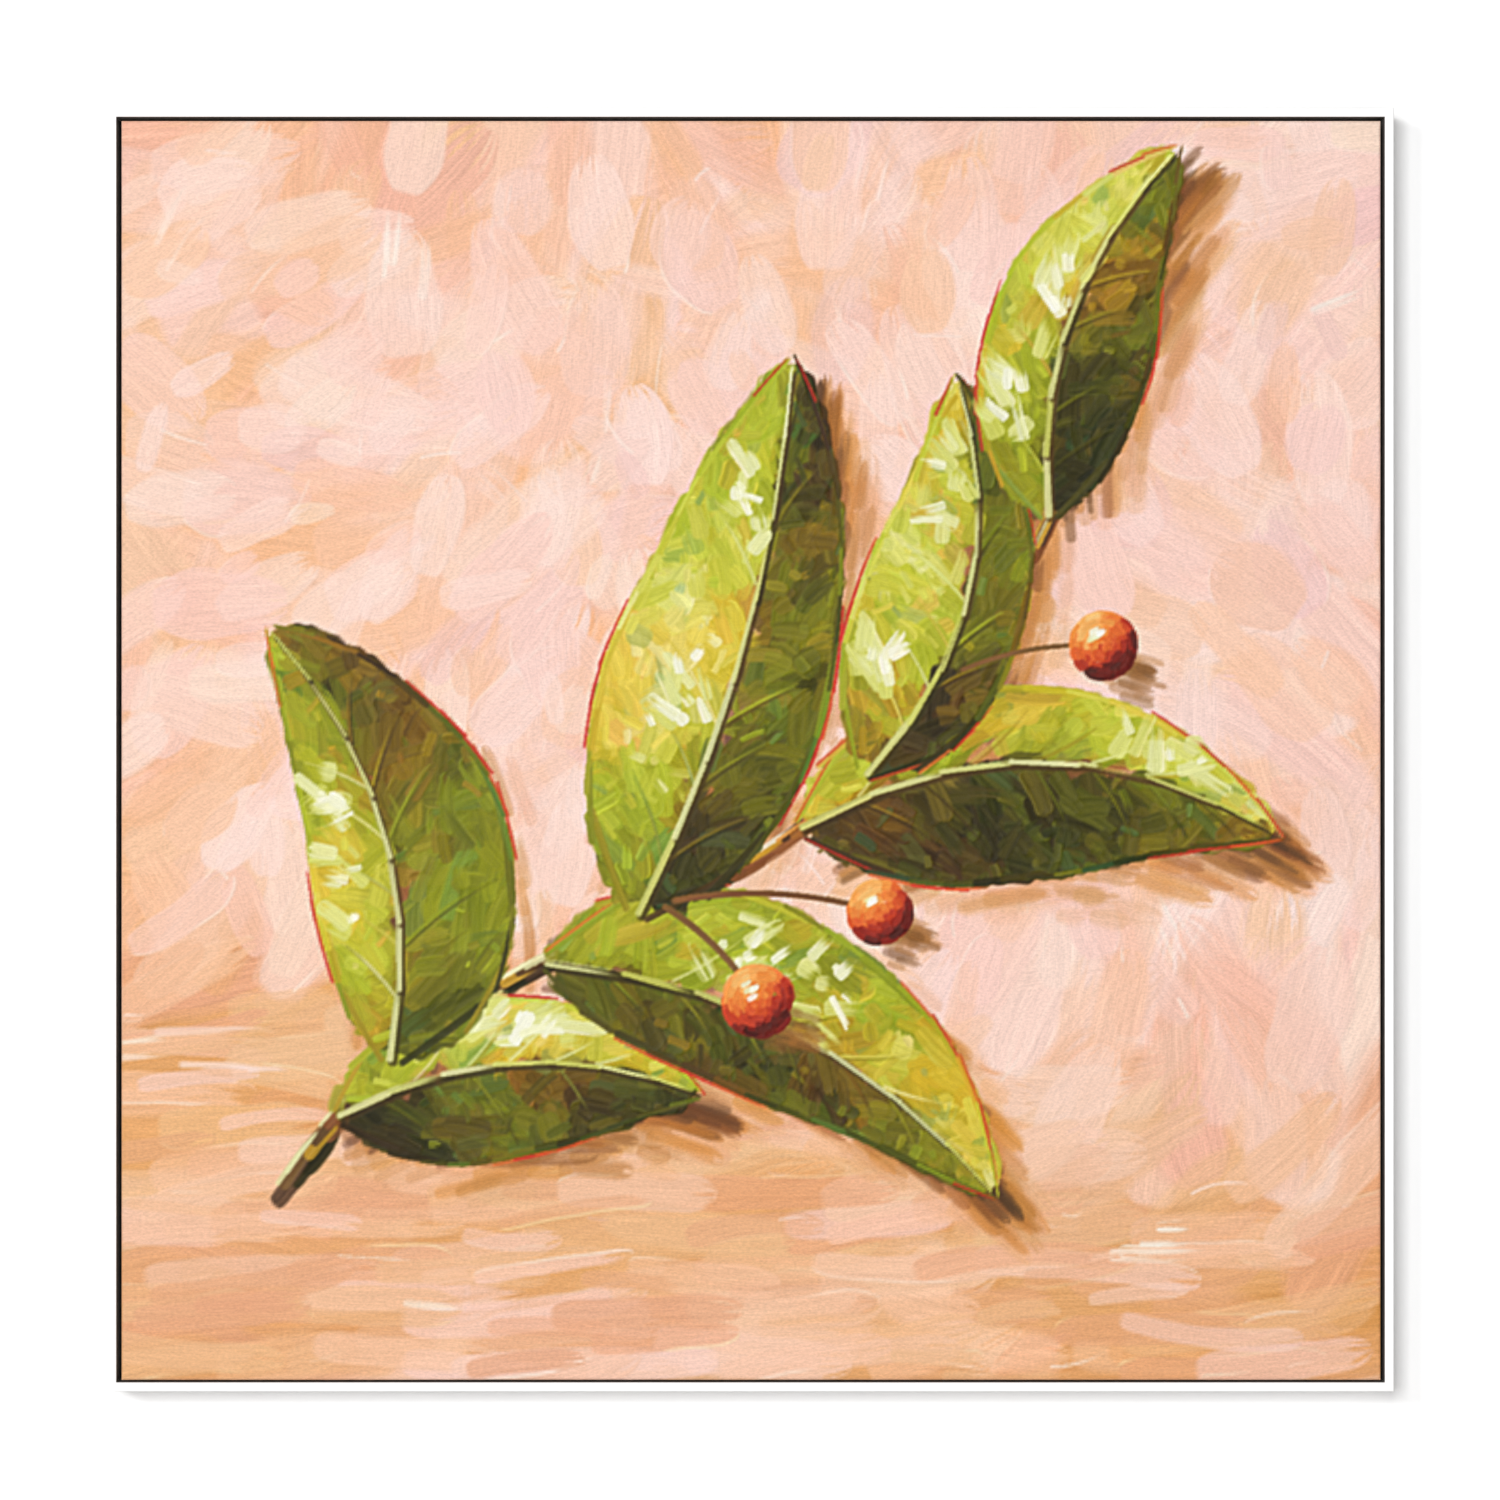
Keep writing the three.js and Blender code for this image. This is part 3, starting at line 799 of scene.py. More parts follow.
class PICTURE_OT_canvas(Operator):
    """Makes the cloth that is pulled over the bars, with its hem and folded corners"""

    bl_idname = "picture.canvas"
    bl_label = "Canvas"

    def execute(self, context):
        group = sizes("canvas")
        low, high = CLOTH_BOX
        bm = bmesh.new()
        bmesh.ops.create_grid(bm, x_segments=CLOTH_STEPS, y_segments=CLOTH_STEPS, size=1)
        bmesh.ops.scale(bm, vec=(CANVAS_HALF, CANVAS_HALF, 1), verts=bm.verts)
        bmesh.ops.transform(bm, verts=bm.verts, matrix=Matrix.Translation(
            (CANVAS_CENTRE.x, low.y, CANVAS_CENTRE.z)) @ Matrix.Rotation(pi / 2, 4, "X"))
        bmesh.ops.dissolve_faces(bm, faces=bm.faces[:], use_verts=False)
        depth = high.y - low.y
        ring = drawn_out(bm, open_edges(bm.edges), (0, depth, 0))
        half = CANVAS_HALF
        for share in HEM_RINGS:
            ring = drawn_out(bm, ring, (0, 0, 0))
            scale = (half - share * group.hem) / half
            half *= scale
            bmesh.ops.scale(bm, vec=(scale, 1, scale), space=Matrix.Translation(-CANVAS_CENTRE),
                            verts=list({vert for edge in ring for vert in edge.verts}))
        rounded(bm, creases(bm, 60), group.fold)
        ruffle_hem(bm)
        cloth = cloth_piece("canvas_sheet", meshed("canvas", bm, sharp=50), group.thickness,
                            ["canvas_cloth"], use_even_offset=True, material_offset=1)
        flaps = [corner_fold(name, across, up) for name, (across, up) in CORNERS.items()]
        return {"FINISHED"}


def cloth_piece(name, mesh, thickness, stands_for=(), **more):
    """A piece of canvas with its weave, its finishes and its thickness: primed on the side that its
    faces look to, and bare along its cut edge."""
    lay_weave(mesh)
    materials = [finish("primed_cotton", primed_cotton), finish("bare_cotton", bare_cotton)]
    piece = placed(name, mesh, materials, stands_for)
    modifier = piece.modifiers.new("Cloth Thickness", "SOLIDIFY")
    for key, value in {"thickness": thickness, "offset": -1, "material_offset_rim": 1, **more}.items():
        setattr(modifier, key, value)
    return piece


def lay_weave(mesh):
    """Gives the cloth a UV map in metres whose axes follow its threads on the front, sides and hem."""
    corners, totals = corners_of(mesh)
    facing = np.repeat(np.abs(values_of(mesh.polygons, "normal", 3)).argmax(1), totals)
    places = values_of(mesh.vertices, "co", 3)[corners]
    first = np.where(facing == 0, places[:, 1], places[:, 0])
    second = np.where(facing == 2, places[:, 1], places[:, 2])
    mesh.uv_layers.new(name="weave").uv.foreach_set("vector", np.stack([first, second], 1).ravel())


FLAP_STEPS = 14  # quads along each side of a corner's flap
FLAP_MARGIN = 0.4 * MM  # how far short of the hem's cut edge it ends
FLAP_TIP = 0.03  # where it starts at the canvas's corner, as a share of its length
FLAP_WIDE = 9 * MM  # its width at the tip
FLAP_SPREAD = 0.35  # how much wider it gets with each step inward
FLAP_PRESSED = 19.5 * MM  # width of the canvas's rim where the frame's ledge presses it flat
FLAP_RISE = 3 * MM  # width over which it then rises
FLAP_STAND = (0.12 * MM, 0.25 * MM, 0.75 * MM)  # off the hem: where pressed, beyond that, on its crest
FLAP_CREST = 0.31  # how far across the flap its crest is
FLAP_STEEP = 3.2  # how steeply it rises to the crest
FLAP_DROP = 0.55  # how much of the crest's height is lost at the far side
FLAP_THICK = 0.1 * MM


def corner_fold(corner, across, up):
    """The flap of spare cloth folded flat over the hem at a corner of the canvas."""
    pressed, clear_of_it, on_crest = FLAP_STAND
    bm = bmesh.new()
    bmesh.ops.create_grid(bm, x_segments=FLAP_STEPS, y_segments=FLAP_STEPS, size=0.5)
    for vert in bm.verts:
        s, t = vert.co.x + 0.5, vert.co.y + 0.5  # across the flap's fold and along it
        inward = (FLAP_TIP + (1 - FLAP_TIP) * t) * (sizes("canvas").hem - FLAP_MARGIN)
        beside = inward + s * (FLAP_WIDE + FLAP_SPREAD * inward)
        clear = min(max((inward - FLAP_PRESSED) / FLAP_RISE, 0.0), 1.0)
        if s < FLAP_CREST:
            puff = sin(pi * min(s * FLAP_STEEP, 1.0) / 2)
        else:
            puff = 1 - FLAP_DROP * (s - FLAP_CREST) / (1 - FLAP_CREST)
        stand = pressed + clear * (clear_of_it + on_crest * puff)
        vert.co = Vector((CANVAS_CENTRE.x + across * (CANVAS_HALF - beside), CLOTH_BOX[1].y + stand,
                          CANVAS_CENTRE.z + up * (CANVAS_HALF - inward)))
    bmesh.ops.recalc_face_normals(bm, faces=bm.faces)
    if sum(f.normal.y for f in bm.faces) < 0:
        bmesh.ops.reverse_faces(bm, faces=bm.faces)
    return cloth_piece(f"corner_fold_{corner}", meshed("corner_fold", bm, sharp=60), FLAP_THICK)


# ---------------------------------------------------------------- oil paint, laid on stroke by stroke

CELL = 0.75  # side of a cell of the wet painting, in millimetres, as is everything about strokes
BRUSH_STEP = 0.62 * CELL  # spacing of the points where a stroke leaves paint
MARKS = (512, 1024)  # size of the bristle pattern, across and along
MARK_WIDE = 0.55  # one step across the bristle pattern
MARK_LONG = 1.6  # one step along it
CREST_HIGHLIGHT = np.array((1.0, 0.955, 0.905))  # painted highlight: the lightest colour a crest of pale paint is given, for the light that it catches
CREST_WIDE = 1.5  # width of such a crest
RAGGED = 0.3  # how unevenly the bristles leave the canvas at a stroke's end, as a share of its length
STREAK_TONE = np.array((1.0, 0.9, 0.8))  # how far a streak changes red, green and blue
PRESSED = 0.55  # how much of the paint's depth a stroke over it pushes aside
TAKES_OVER = 0.35  # cover from which a cell belongs to the stroke that is laid over it


def tint(code):
    """A palette colour from its hexadecimal code."""
    return np.array([int(code[i:i + 2], 16) / 255 for i in (0, 2, 4)])


def mixed(first, second, share):
    return first + (second - first) * share


def crest_highlight_tone(colour):
    """A painted highlight for a crest in paint of some colour: that colour made lighter, for the light the
    crest catches.
    """
    return np.minimum(np.asarray(colour) * 1.3 + 0.07, CREST_HIGHLIGHT)


def smooth(low, high, value):
    step = np.clip((value - low) / (high - low), 0, 1)
    return step * step * (3 - 2 * step)


def box_blurred(field, radius, axis, passes=3):
    """Soft blur along one axis that wraps round at the ends."""
    for _ in range(passes):
        total = field.copy()
        for step in range(1, radius + 1):
            total += np.roll(field, step, axis) + np.roll(field, -step, axis)
        field = total / (2 * radius + 1)
    return field


def bristle_pattern(rng):
    """Noise from 0 to 1 that is fine across a brush and long along it."""
    noise = box_blurred(box_blurred(rng.random(MARKS), 1, 0), 14, 1)
    return np.clip(0.5 + 0.26 * (noise - noise.mean()) / noise.std(), 0, 1)


def bent_line(start, end, bend, v):
    """Places on a line that bends to its left by a share of its length, and its direction at each."""
    middle = (start + end) / 2 + across_of(end - start) * bend
    places = [(1 - v) ** 2 * a + 2 * v * (1 - v) * b + v * v * c for a, b, c in zip(start, middle, end)]
    runs = [(1 - v) * (b - a) + v * (c - b) for a, b, c in zip(start, middle, end)]
    speed = np.hypot(*runs) + 1e-6
    return places, [run / speed for run in runs]


def stroke_outline(v, length, width, taper, rng):
    """How much of the brush's width a stroke has along it: rounded at both ends, and wavering."""
    round_off = min(0.45, taper * width / length)
    from_end = np.clip(np.minimum(v / round_off, (1 - v) / (round_off * 1.2)), 0, 1)
    belly = (1 - (1 - from_end) ** 2 * 0.93) ** 0.42
    waver = 0.07 * np.sin(v * 5 + rng.uniform(0, 6)) + 0.03 * np.sin(v * length / 7 + rng.uniform(0, 6))
    return belly * (1 + waver)


def stroke_cover(u, v, bristle, dry, edge):
    """How much of what is below a stroke hides: less as the bristles run dry, at its sides and ends."""
    late = smooth(0.35, 1.0, v + 0.18 * (bristle - 0.5))
    load = 1.25 - dry * (0.35 + 1.6 * late) - (1 - bristle) * dry * 2.2
    sides = smooth(0, edge, 1 - np.abs(u) + 0.12 * (bristle - 0.5))
    ends = smooth(-0.01, 0.04, v) * smooth(0, 0.07, 1 - v + RAGGED * (bristle - 0.5))
    return np.clip(load * 1.9, 0, 1) * sides * ends


def stroke_depth(u, v, bristle, length, rim):
    """How deep a stroke's paint is: furrowed by the bristles, with rims and a heap at its end."""
    ridge = np.exp(-((np.abs(u) - 0.86) / 0.1) ** 2)
    heap = np.exp(-((v - 0.955) / (0.03 + 1.2 / length)) ** 2)
    return 0.3 + 0.7 * bristle + rim * ridge + 0.9 * heap


class WetPaint:
    """The painting on its canvas: each cell's colour, its depth, and where in a stroke it lies."""

    def __init__(self, side, tone, rng):
        self.rng = rng
        self.half = side / 2
        self.count = int(round(side / CELL)) + 1
        shape = (self.count, self.count)
        self.colour = np.empty(shape + (3,), np.float32)
        self.colour[:] = tone
        self.depth = np.zeros(shape, np.float32)
        self.bristle = np.zeros(shape + (3,), np.float32)  # across and along the stroke, and its turn
        self.marks = bristle_pattern(rng)
        self.tints = bristle_pattern(rng)

    def brush(self, start, end, width, colour, bend=0.0, cover=1.0, body=0.2, dry=0.25, streak=0.05,
              pick=0.15, edge=0.2, taper=0.6, rim=0.7, crest_and_highlight=0.0):
        """One loaded stroke. body is its depth in millimetres; dry is how soon the bristles run out of
        paint; pick is how much wet colour it takes up; edge is how softly its sides end; rim is how
        much paint it pushes to its sides; the crest setting is how far that stands up as a thin ridge, and
        how much lighter that ridge is painted, a painted highlight."""
        rng = self.rng
        start, end = np.asarray(start, float), np.asarray(end, float)
        length = max(hypot(*(end - start)), 1e-3)
        v = np.linspace(0, 1, int(length / BRUSH_STEP) + 3)[:, None]
        u = np.linspace(-1, 1, int(width / BRUSH_STEP) + 3)[None, :]
        (x, z), (run_x, run_z) = bent_line(start, end, bend, v)
        half = width / 2 * stroke_outline(v, length, width, taper, rng)
        row, column = self.cells(x - run_z * u * half, z + run_x * u * half)
        lane = (rng.integers(MARKS[0]) + (u + 1) * width / 2 / MARK_WIDE).astype(int) % MARKS[0]
        place = (rng.integers(MARKS[1]) + v * length / MARK_LONG).astype(int) % MARKS[1]
        bristle = self.marks[lane, place]
        alpha = (cover * stroke_cover(u, v, bristle, dry, edge)).astype(np.float32)
        inside = (row >= 0) & (column >= 0) & (row < self.count) & (column < self.count)
        inside &= alpha > 0.01
        if not inside.any():
            return
        row, column, alpha = row[inside], column[inside], alpha[inside]
        under = self.colour[row, column]
        colour = mixed(np.asarray(colour), under[: max(1, len(under) // 3)].mean(0), pick)
        drawn = colour + (self.tints[lane, place][inside][:, None] - 0.5) * streak * STREAK_TONE
        depth = body * stroke_depth(u, v, bristle, length, rim)
        # painted highlight: where a crest stands up, its colour is made lighter as well as its paint raised
        if crest_and_highlight:
            lip_and_highlight = crest_and_highlight * self.lip_and_highlight(u, half, place)
            drawn = mixed(drawn, crest_highlight_tone(colour), np.minimum(lip_and_highlight[inside], 1)[:, None])
            depth = depth + 0.7 * lip_and_highlight
        self.colour[row, column] = mixed(under, np.clip(drawn, 0, 1), alpha[:, None])
        old = self.depth[row, column]
        self.depth[row, column] = old * (1 - PRESSED * alpha) + alpha * depth[inside]
        taken = alpha > TAKES_OVER
        row, column = row[taken], column[taken]
        for k, value in enumerate((u * half, v * length, np.arctan2(run_z, run_x))):
            self.bristle[row, column, k] = np.broadcast_to(value, inside.shape)[inside][taken]

    def cells(self, x, z):
        """The rows and columns of the cells at places on the canvas."""
        return (np.rint((place + self.half) / CELL).astype(int) for place in (z, x))

    def lip_and_highlight(self, u, half, place):
        """Where a thin crest stands up along one side of a stroke, broken as its bristles were, and so
        where a painted highlight lightens its colour.
        """
        near = np.exp(-((1 - np.abs(u)) * half / CREST_WIDE - 1) ** 2 * 2)
        broken = np.where(u > 0, self.marks[0, place], self.marks[MARKS[0] // 2, place])
        return near * smooth(0.56, 0.74, broken) * (u * self.rng.choice((-1, 1)) > 0)


PEACH, APRICOT, PINK, SHELL = tint("f8c8a8"), tint("f4bb8e"), tint("fad3c7"), tint("fde1d7")
MAUVE, CREAM, ROSE, BLUSH = tint("f0c6c2"), tint("fcdfca"), tint("f4b9a2"), tint("ffefe8")
TAN, OCHRE, ROSY_TAN, SAND = tint("e2a367"), tint("db9852"), tint("e8a981"), tint("efbe90")
GOLD, AMBER, TEAL, UMBER = tint("d9a92c"), tint("e8912c"), tint("3f7a55"), tint("4b3220")
SIENNA, RUST, CRIMSON, BARK = tint("b8742e"), tint("8a4f26"), tint("c8261f"), tint("7d5a2c")
IVORY, PALE = tint("fdfcf2"), tint("e6e8ae")

HIGH_GROUND = (APRICOT, PEACH, PINK, ROSE, SHELL)
DABS = (PINK, SHELL, MAUVE, CREAM, PEACH)
LOW_GROUND = (TAN, OCHRE, ROSY_TAN, SAND, PEACH)
LOW_WEIGHTS = (0.34, 0.12, 0.26, 0.2, 0.08)
LOW_DABS = (ROSY_TAN, SAND, PEACH, PINK)
LOW_DAB_WEIGHTS = (0.4, 0.4, 0.35, 0.25)
GREENS = tuple(map(tint, ("2c2808", "4b4e0c", "72740f", "919b17", "b2bc26", "ced14c", "e4e69c")))
WARMS = tuple(map(tint, ("35200e", "633f0e", "966a12", "c19518", "e0b526", "eed156", "f6eab0")))
REDS = tuple(map(tint, ("46150f", "8e2016", "c43a1e", "e2642a", "f19440", "f9c577", "fdf0cf")))
LAMP_SIDE = np.array((-0.55, 0.83))  # the painted light comes from the upper left
GROUND_STRAY = 0.006  # how unevenly the ground's colours are mixed
SPRIG_STRAY = 0.012  # the same for the sprig's


def graded(tones, light):
    """A tone from a row of tones that runs from dark to light."""
    place = float(np.clip(light, 0, 1)) * (len(tones) - 1)
    step = min(int(place), len(tones) - 2)
    return mixed(tones[step], tones[step + 1], place - step)


def one_of(rng, tones, weights=None):
    """One value drawn from several, which come up as often as their weights say."""
    if weights is None:
        return tones[rng.integers(len(tones))]
    weights = np.asarray(weights, float)
    return tones[rng.choice(len(tones), p=weights / weights.sum())]


def lowness(x, z):
    """From 0 in the upper ground to 1 on the table that the sprig lies on."""
    return float(smooth(-150, -300, z + 0.2 * x + 18 * sin(x / 120)))


def calmness(x, z):
    """Where the ground was left thin and plain, from 0 to 1."""
    return float(smooth(-0.1, 0.8, sin(x / 210 - 0.7) * cos(z / 260 + 0.5) + 0.3 * sin(x / 90 + z / 130)))


def ground_warmth(x, z):
    """From 0, pink, to 1, apricot, which gathers to the left."""
    return float(np.clip(0.5 - x / 800 + 0.3 * sin(x / 110 + 0.8) * cos(z / 150 - 0.6), 0, 1))


def ground_tone(x, z, rng):
    """A colour for the first coats: apricot to the left, pink to the right, tan on the table."""
    low = np.clip(lowness(x, z) + rng.normal(0, 0.1), 0, 1)
    warm = ground_warmth(x, z)
    rosy = 0.2 + 0.9 * float(smooth(330, 450, max(abs(x), abs(z))))
    cool = 1 - warm
    upper = one_of(rng, HIGH_GROUND, (0.15 + 1.4 * warm, 0.5 + 0.5 * warm, 0.3 + 1.1 * cool, rosy, cool))
    return mixed(upper, one_of(rng, LOW_GROUND, LOW_WEIGHTS), low) + rng.normal(0, GROUND_STRAY, 3)


def dab_tone(x, z, rng):
    """A paler colour for the dabs over them."""
    warm = ground_warmth(x, z)
    upper = one_of(rng, DABS, (1.0, 0.9, 0.2 * (1 - warm), 0.04 + 0.1 * warm, 0.4))
    lower = one_of(rng, LOW_DABS, LOW_DAB_WEIGHTS)
    return mixed(upper, lower, lowness(x, z)) + rng.normal(0, GROUND_STRAY, 3)


def ground_turn(x, z):
    """Which way the ground's strokes run: they sweep round above, and lie level below."""
    low = lowness(x, z)
    sweep = 1.35 + 0.8 * sin(x / 170 + z / 240) + 0.5 * cos(z / 130 - x / 300)
    return sweep * (1 - low) + 0.05 * low


def stroke_ends(x, z, turn, length):
    """Both ends of a straight stroke about a place."""
    reach = np.array([cos(turn), sin(turn)]) * length / 2
    return np.array([x, z]) - reach, np.array([x, z]) + reach


# how the paint of each kind of stroke is laid, as WetPaint.brush takes it
SCRUB = dict(body=0.06, streak=0.07, pick=0.2, edge=0.5)
DAB = dict(streak=0.035, pick=0.12, taper=0.8)
RIDGE = dict(body=0.4, pick=0.0, edge=0.6)
# the crest setting of dry lights and thick lights also paints a highlight along the ridge
DRY_LIGHT = dict(body=0.34, streak=0.04, edge=0.35, crest_and_highlight=0.4)

# strokes, widths, lengths, cover
SCRUB_COATS = (
    (420, (55, 88), (120, 230), 1.0),
    (460, (26, 52), (70, 150), 0.55),
)
# strokes, widths, lengths, cover, body
DAB_COATS = (
    (230, (42, 66), (64, 120), 0.6, 0.1),
    (230, (30, 52), (48, 100), 0.66, 0.14),
    (110, (16, 30), (30, 70), 0.55, 0.18),
)
RIDGES = 90
DRY_LIGHTS = 26  # groups of dry, pale strokes


def paint_ground(paint, rng):
    """A scrubbed coat of peach and apricot, then rounded dabs of paler pink and cream over it."""
    for count, widths, lengths, cover in SCRUB_COATS:
        for _ in range(count):
            x, z = rng.uniform(-paint.half, paint.half, 2)
            turn = ground_turn(x, z) + rng.normal(0, 0.6 * (1 - 0.8 * lowness(x, z)))
            paint.brush(*stroke_ends(x, z, turn, rng.uniform(*lengths)), rng.uniform(*widths),
                        ground_tone(x, z, rng), bend=rng.normal(0, 0.08), cover=cover,
                        dry=rng.uniform(0.05, 0.35), **SCRUB)
    for count, widths, lengths, cover, body in DAB_COATS:
        for _ in range(count):
            x, z = rng.uniform(-paint.half, paint.half, 2)
            low = lowness(x, z)
            if rng.random() < 0.75 * calmness(x, z) * (1 - low):
                continue
            turn = ground_turn(x, z) + rng.normal(0, 0.5 * (1 - 0.8 * low))
            length = rng.uniform(*lengths) * (1 + 0.7 * low)
            width = rng.uniform(*widths) * (1 - 0.45 * low)
            # some dabs get a crest, raised and given a painted highlight
            paint.brush(*stroke_ends(x, z, turn, length), width, dab_tone(x, z, rng),
                        bend=rng.normal(0, 0.06), cover=cover * rng.uniform(0.7, 1.2),
                        body=body * rng.uniform(0.6, 1.5), dry=rng.uniform(0, 0.22),
                        edge=rng.uniform(0.06, 0.3), rim=one_of(rng, (0.2, 0.7, 1.6)),
                        crest_and_highlight=one_of(rng, (0, 0.3, 0.6, 1.0)), **DAB)
    for _ in range(RIDGES):
        paint_ridge(paint, rng)


def paint_ridge(paint, rng):
    """A thin crest left where the side of a loaded brush lifted off: a real ridge of paler paint, whose
    colour also carries a painted highlight.
    """
    x, z = rng.uniform(-paint.half, paint.half, 2)
    turn = ground_turn(x, z) + rng.normal(0, 0.7 * (1 - 0.8 * lowness(x, z)))
    # painted highlight: the ridge's colour is mixed towards the crest highlight
    tone = mixed(dab_tone(x, z, rng), CREST_HIGHLIGHT, rng.uniform(0.2, 0.9))
    paint.brush(*stroke_ends(x, z, turn, rng.uniform(10, 46)), rng.uniform(1.7, 3.0), tone,
                bend=rng.normal(0, 0.14), cover=rng.uniform(0.35, 0.8), dry=rng.uniform(0.2, 0.6), **RIDGE)


def paint_dry_lights(paint, rng):
    """Small groups of dry, pale strokes that catch on the ridges below them."""
    for _ in range(DRY_LIGHTS):
        x, z = rng.uniform(-paint.half, paint.half, 2)
        low = lowness(x, z)
        turn = ground_turn(x, z) + rng.normal(0, 0.5 - 0.42 * low)
        pale = one_of(rng, (BLUSH, mixed(BLUSH, PINK, 0.4), mixed(BLUSH, CREAM, 0.5), IVORY))
        for _ in range(rng.integers(1, 5)):
            ox, oz = rng.normal(0, 12, 2)
            ends = stroke_ends(x + ox, z + oz, turn, rng.uniform(24, 70 + 40 * low))
            paint.brush(*ends, rng.uniform(4, 13), pale, bend=rng.normal(0, 0.05),
                        cover=rng.uniform(0.25, 0.65) + 0.25 * low, dry=rng.uniform(0.5, 0.85), **DRY_LIGHT)


# ---------------------------------------------------------------- the painted sprig


def bezier(points, t):
    """A place on a curve through the first and last of four points, as t goes from 0 to 1."""
    a, b, c, d = (np.asarray(p, float) for p in points)
    s = 1 - t
    return s ** 3 * a + 3 * s * s * t * b + 3 * s * t * t * c + t ** 3 * d


def bezier_run(points, t):
    """The direction of a curve at t, as a unit vector."""
    a, b, c, d = (np.asarray(p, float) for p in points)
    s = 1 - t
    run = 3 * s * s * (b - a) + 6 * s * t * (c - b) + 3 * t * t * (d - c)
    return run / hypot(*run)


def across_of(run):
    """A direction turned a quarter to the left."""
    return np.array([-run[1], run[0]])


STEM = ((-352, -338), (-190, -60), (60, -190), (226, 190))
# place on the stem, turn from it, length, width on the left of the rib and on its right, curl
LEAVES = (
    (0.10, -0.80, 268, 52, 74, 0.16),
    (0.17, 1.12, 330, 62, 92, -0.17),
    (0.36, -0.95, 372, 84, 60, 0.14),
    (0.47, 0.86, 424, 96, 74, -0.07),
    (0.66, -0.62, 352, 60, 92, 0.20),
    (0.74, 0.62, 300, 82, 48, -0.20),
    (0.98, 0.10, 288, 58, 70, 0.16),
)
# place on the stem, and how far off it to the right and up
BERRIES = ((0.50, 70, -70), (0.51, 152, -8), (0.86, 104, 18))
BERRY_RADII = (27, 24, 25)
LEAF_BASE = 0.55  # the smaller, the blunter the leaf is at its base
LEAF_TIP = 0.85  # the same for its tip
LEAF_FULL = 2.55  # so that its widest part is as wide as asked


class Leaf:
    """A leaf drawn about a curved rib: t runs along the rib and s from one edge, -1, to the other, 1."""

    def __init__(self, base, turn, length, left, right, curl, rng):
        self.length, self.wide = length, {1: left, -1: right}
        base = np.asarray(base, float)
        run = np.array([cos(turn), sin(turn)])
        bow = across_of(run) * curl * length
        end = base + run * length
        self.rib = (base, base + (end - base) / 3 + bow, base + (end - base) * 2 / 3 + bow, end)
        toward = float(np.dot(across_of(bezier_run(self.rib, 0.5)), LAMP_SIDE))
        self.bright = {1: 0.5 + 0.5 * toward, -1: 0.5 - 0.5 * toward}
        self.chance = rng.uniform(0, 2 * pi, 5)  # where each of its waves begins

    def reach(self, t, side):
        """The leaf's width at t on one side of its rib, with a slightly wavy edge."""
        t = min(max(t, 0.002), 0.998)
        wave = 1 + 0.05 * sin(t * 15 + self.chance[side]) * t
        return self.wide[side] * LEAF_FULL * t ** LEAF_BASE * (1 - t) ** LEAF_TIP * wave

    def at(self, t, s):
        """A place on the leaf."""
        t = min(max(t, 0.0), 1.0)
        side = 1 if s > 0 else -1
        return bezier(self.rib, t) + across_of(bezier_run(self.rib, t)) * s * self.reach(t, side)

    def light(self, t, s):
        """How light the leaf is there, from 0 to 1: by the side's turn to the lamp, rounded over its
        width, quilted between the veins, and darker at the base."""
        bright = self.bright[1 if s > 0 else -1]
        crown = (0.14 if bright > 0.5 else -0.06) * sin(pi * abs(s) ** 0.8)
        quilt = 0.1 * sin(2 * pi * (t * VEINS - 0.75 * abs(s)) + self.chance[2]) * sin(pi * abs(s))
        sway = 0.11 * sin(t * 6 + self.chance[3])
        return 0.19 + 0.48 * bright + crown + quilt + sway - 0.2 * (1 - min(1, t * 4))

    def warmth(self, t, s):
        """How yellow the leaf has turned there, from 0 to 1."""
        blotch = sin(t * 6.4 + self.chance[4]) * cos(s * 2.1 + self.chance[0]) + 0.45 * sin(t * 15 + s * 4)
        return float(smooth(-0.15, 1.0, blotch))

    def tone(self, t, s, rng, lift=0.0):
        """The leaf's colour there, with the odd bright or cool touch."""
        light = self.light(t, s) + lift + rng.normal(0, 0.05)
        warm = np.clip(self.warmth(t, s) + rng.normal(0, 0.16), 0, 1)
        tone = mixed(graded(GREENS, light), graded(WARMS, light), 0.85 * warm)
        odd = rng.random()
        if odd < 0.07:
            tone = mixed(tone, AMBER, 0.5 * min(1, light + 0.2))
        elif odd < 0.12:
            tone = mixed(tone, TEAL, 0.4)
        return tone + rng.normal(0, SPRIG_STRAY, 3)

    def stroke(self, t, s, length, turn, width=4.0):
        """A stroke's two ends, from a place outward along the veins, turned by an angle off them."""
        side = 1 if s > 0 else -1
        lean = 0.85 - 0.35 * abs(s) + turn
        reach = max(self.reach(t, side), 4)
        outward = min(max(side * s + length * sin(lean) / reach, 0.02), max(0.3, 1 - 0.42 * width / reach))
        along = min(t + length * cos(lean) / self.length, 1 - 0.6 * width / self.length)
        return self.at(t, s), self.at(along, side * outward)


# how the paint of each kind of stroke is laid, as WetPaint.brush takes it
LEAF_SKIN = dict(streak=0.1, taper=0.3)
THICK_LIGHT = dict(cover=0.92, streak=0.06, pick=0.1, edge=0.2, taper=0.3, crest_and_highlight=0.5)
VEIN_SHADE = dict(cover=0.6, body=0.1, dry=0.4, edge=0.6)
VEIN = dict(cover=0.8, body=0.34, dry=0.45, edge=0.5)
RIB_SHADE = dict(cover=0.8, body=0.14, dry=0.2, edge=0.4)
RIB = dict(cover=0.92, body=0.45, streak=0.1, edge=0.35)
MARGIN = dict(cover=0.9, body=0.26, dry=0.2, streak=0.08, edge=0.3)
RED_LINE = dict(cover=0.9, body=0.2, dry=0.3, edge=0.5, taper=0.3)
CAST_SHADE = dict(body=0.12, pick=0.3, edge=0.7)
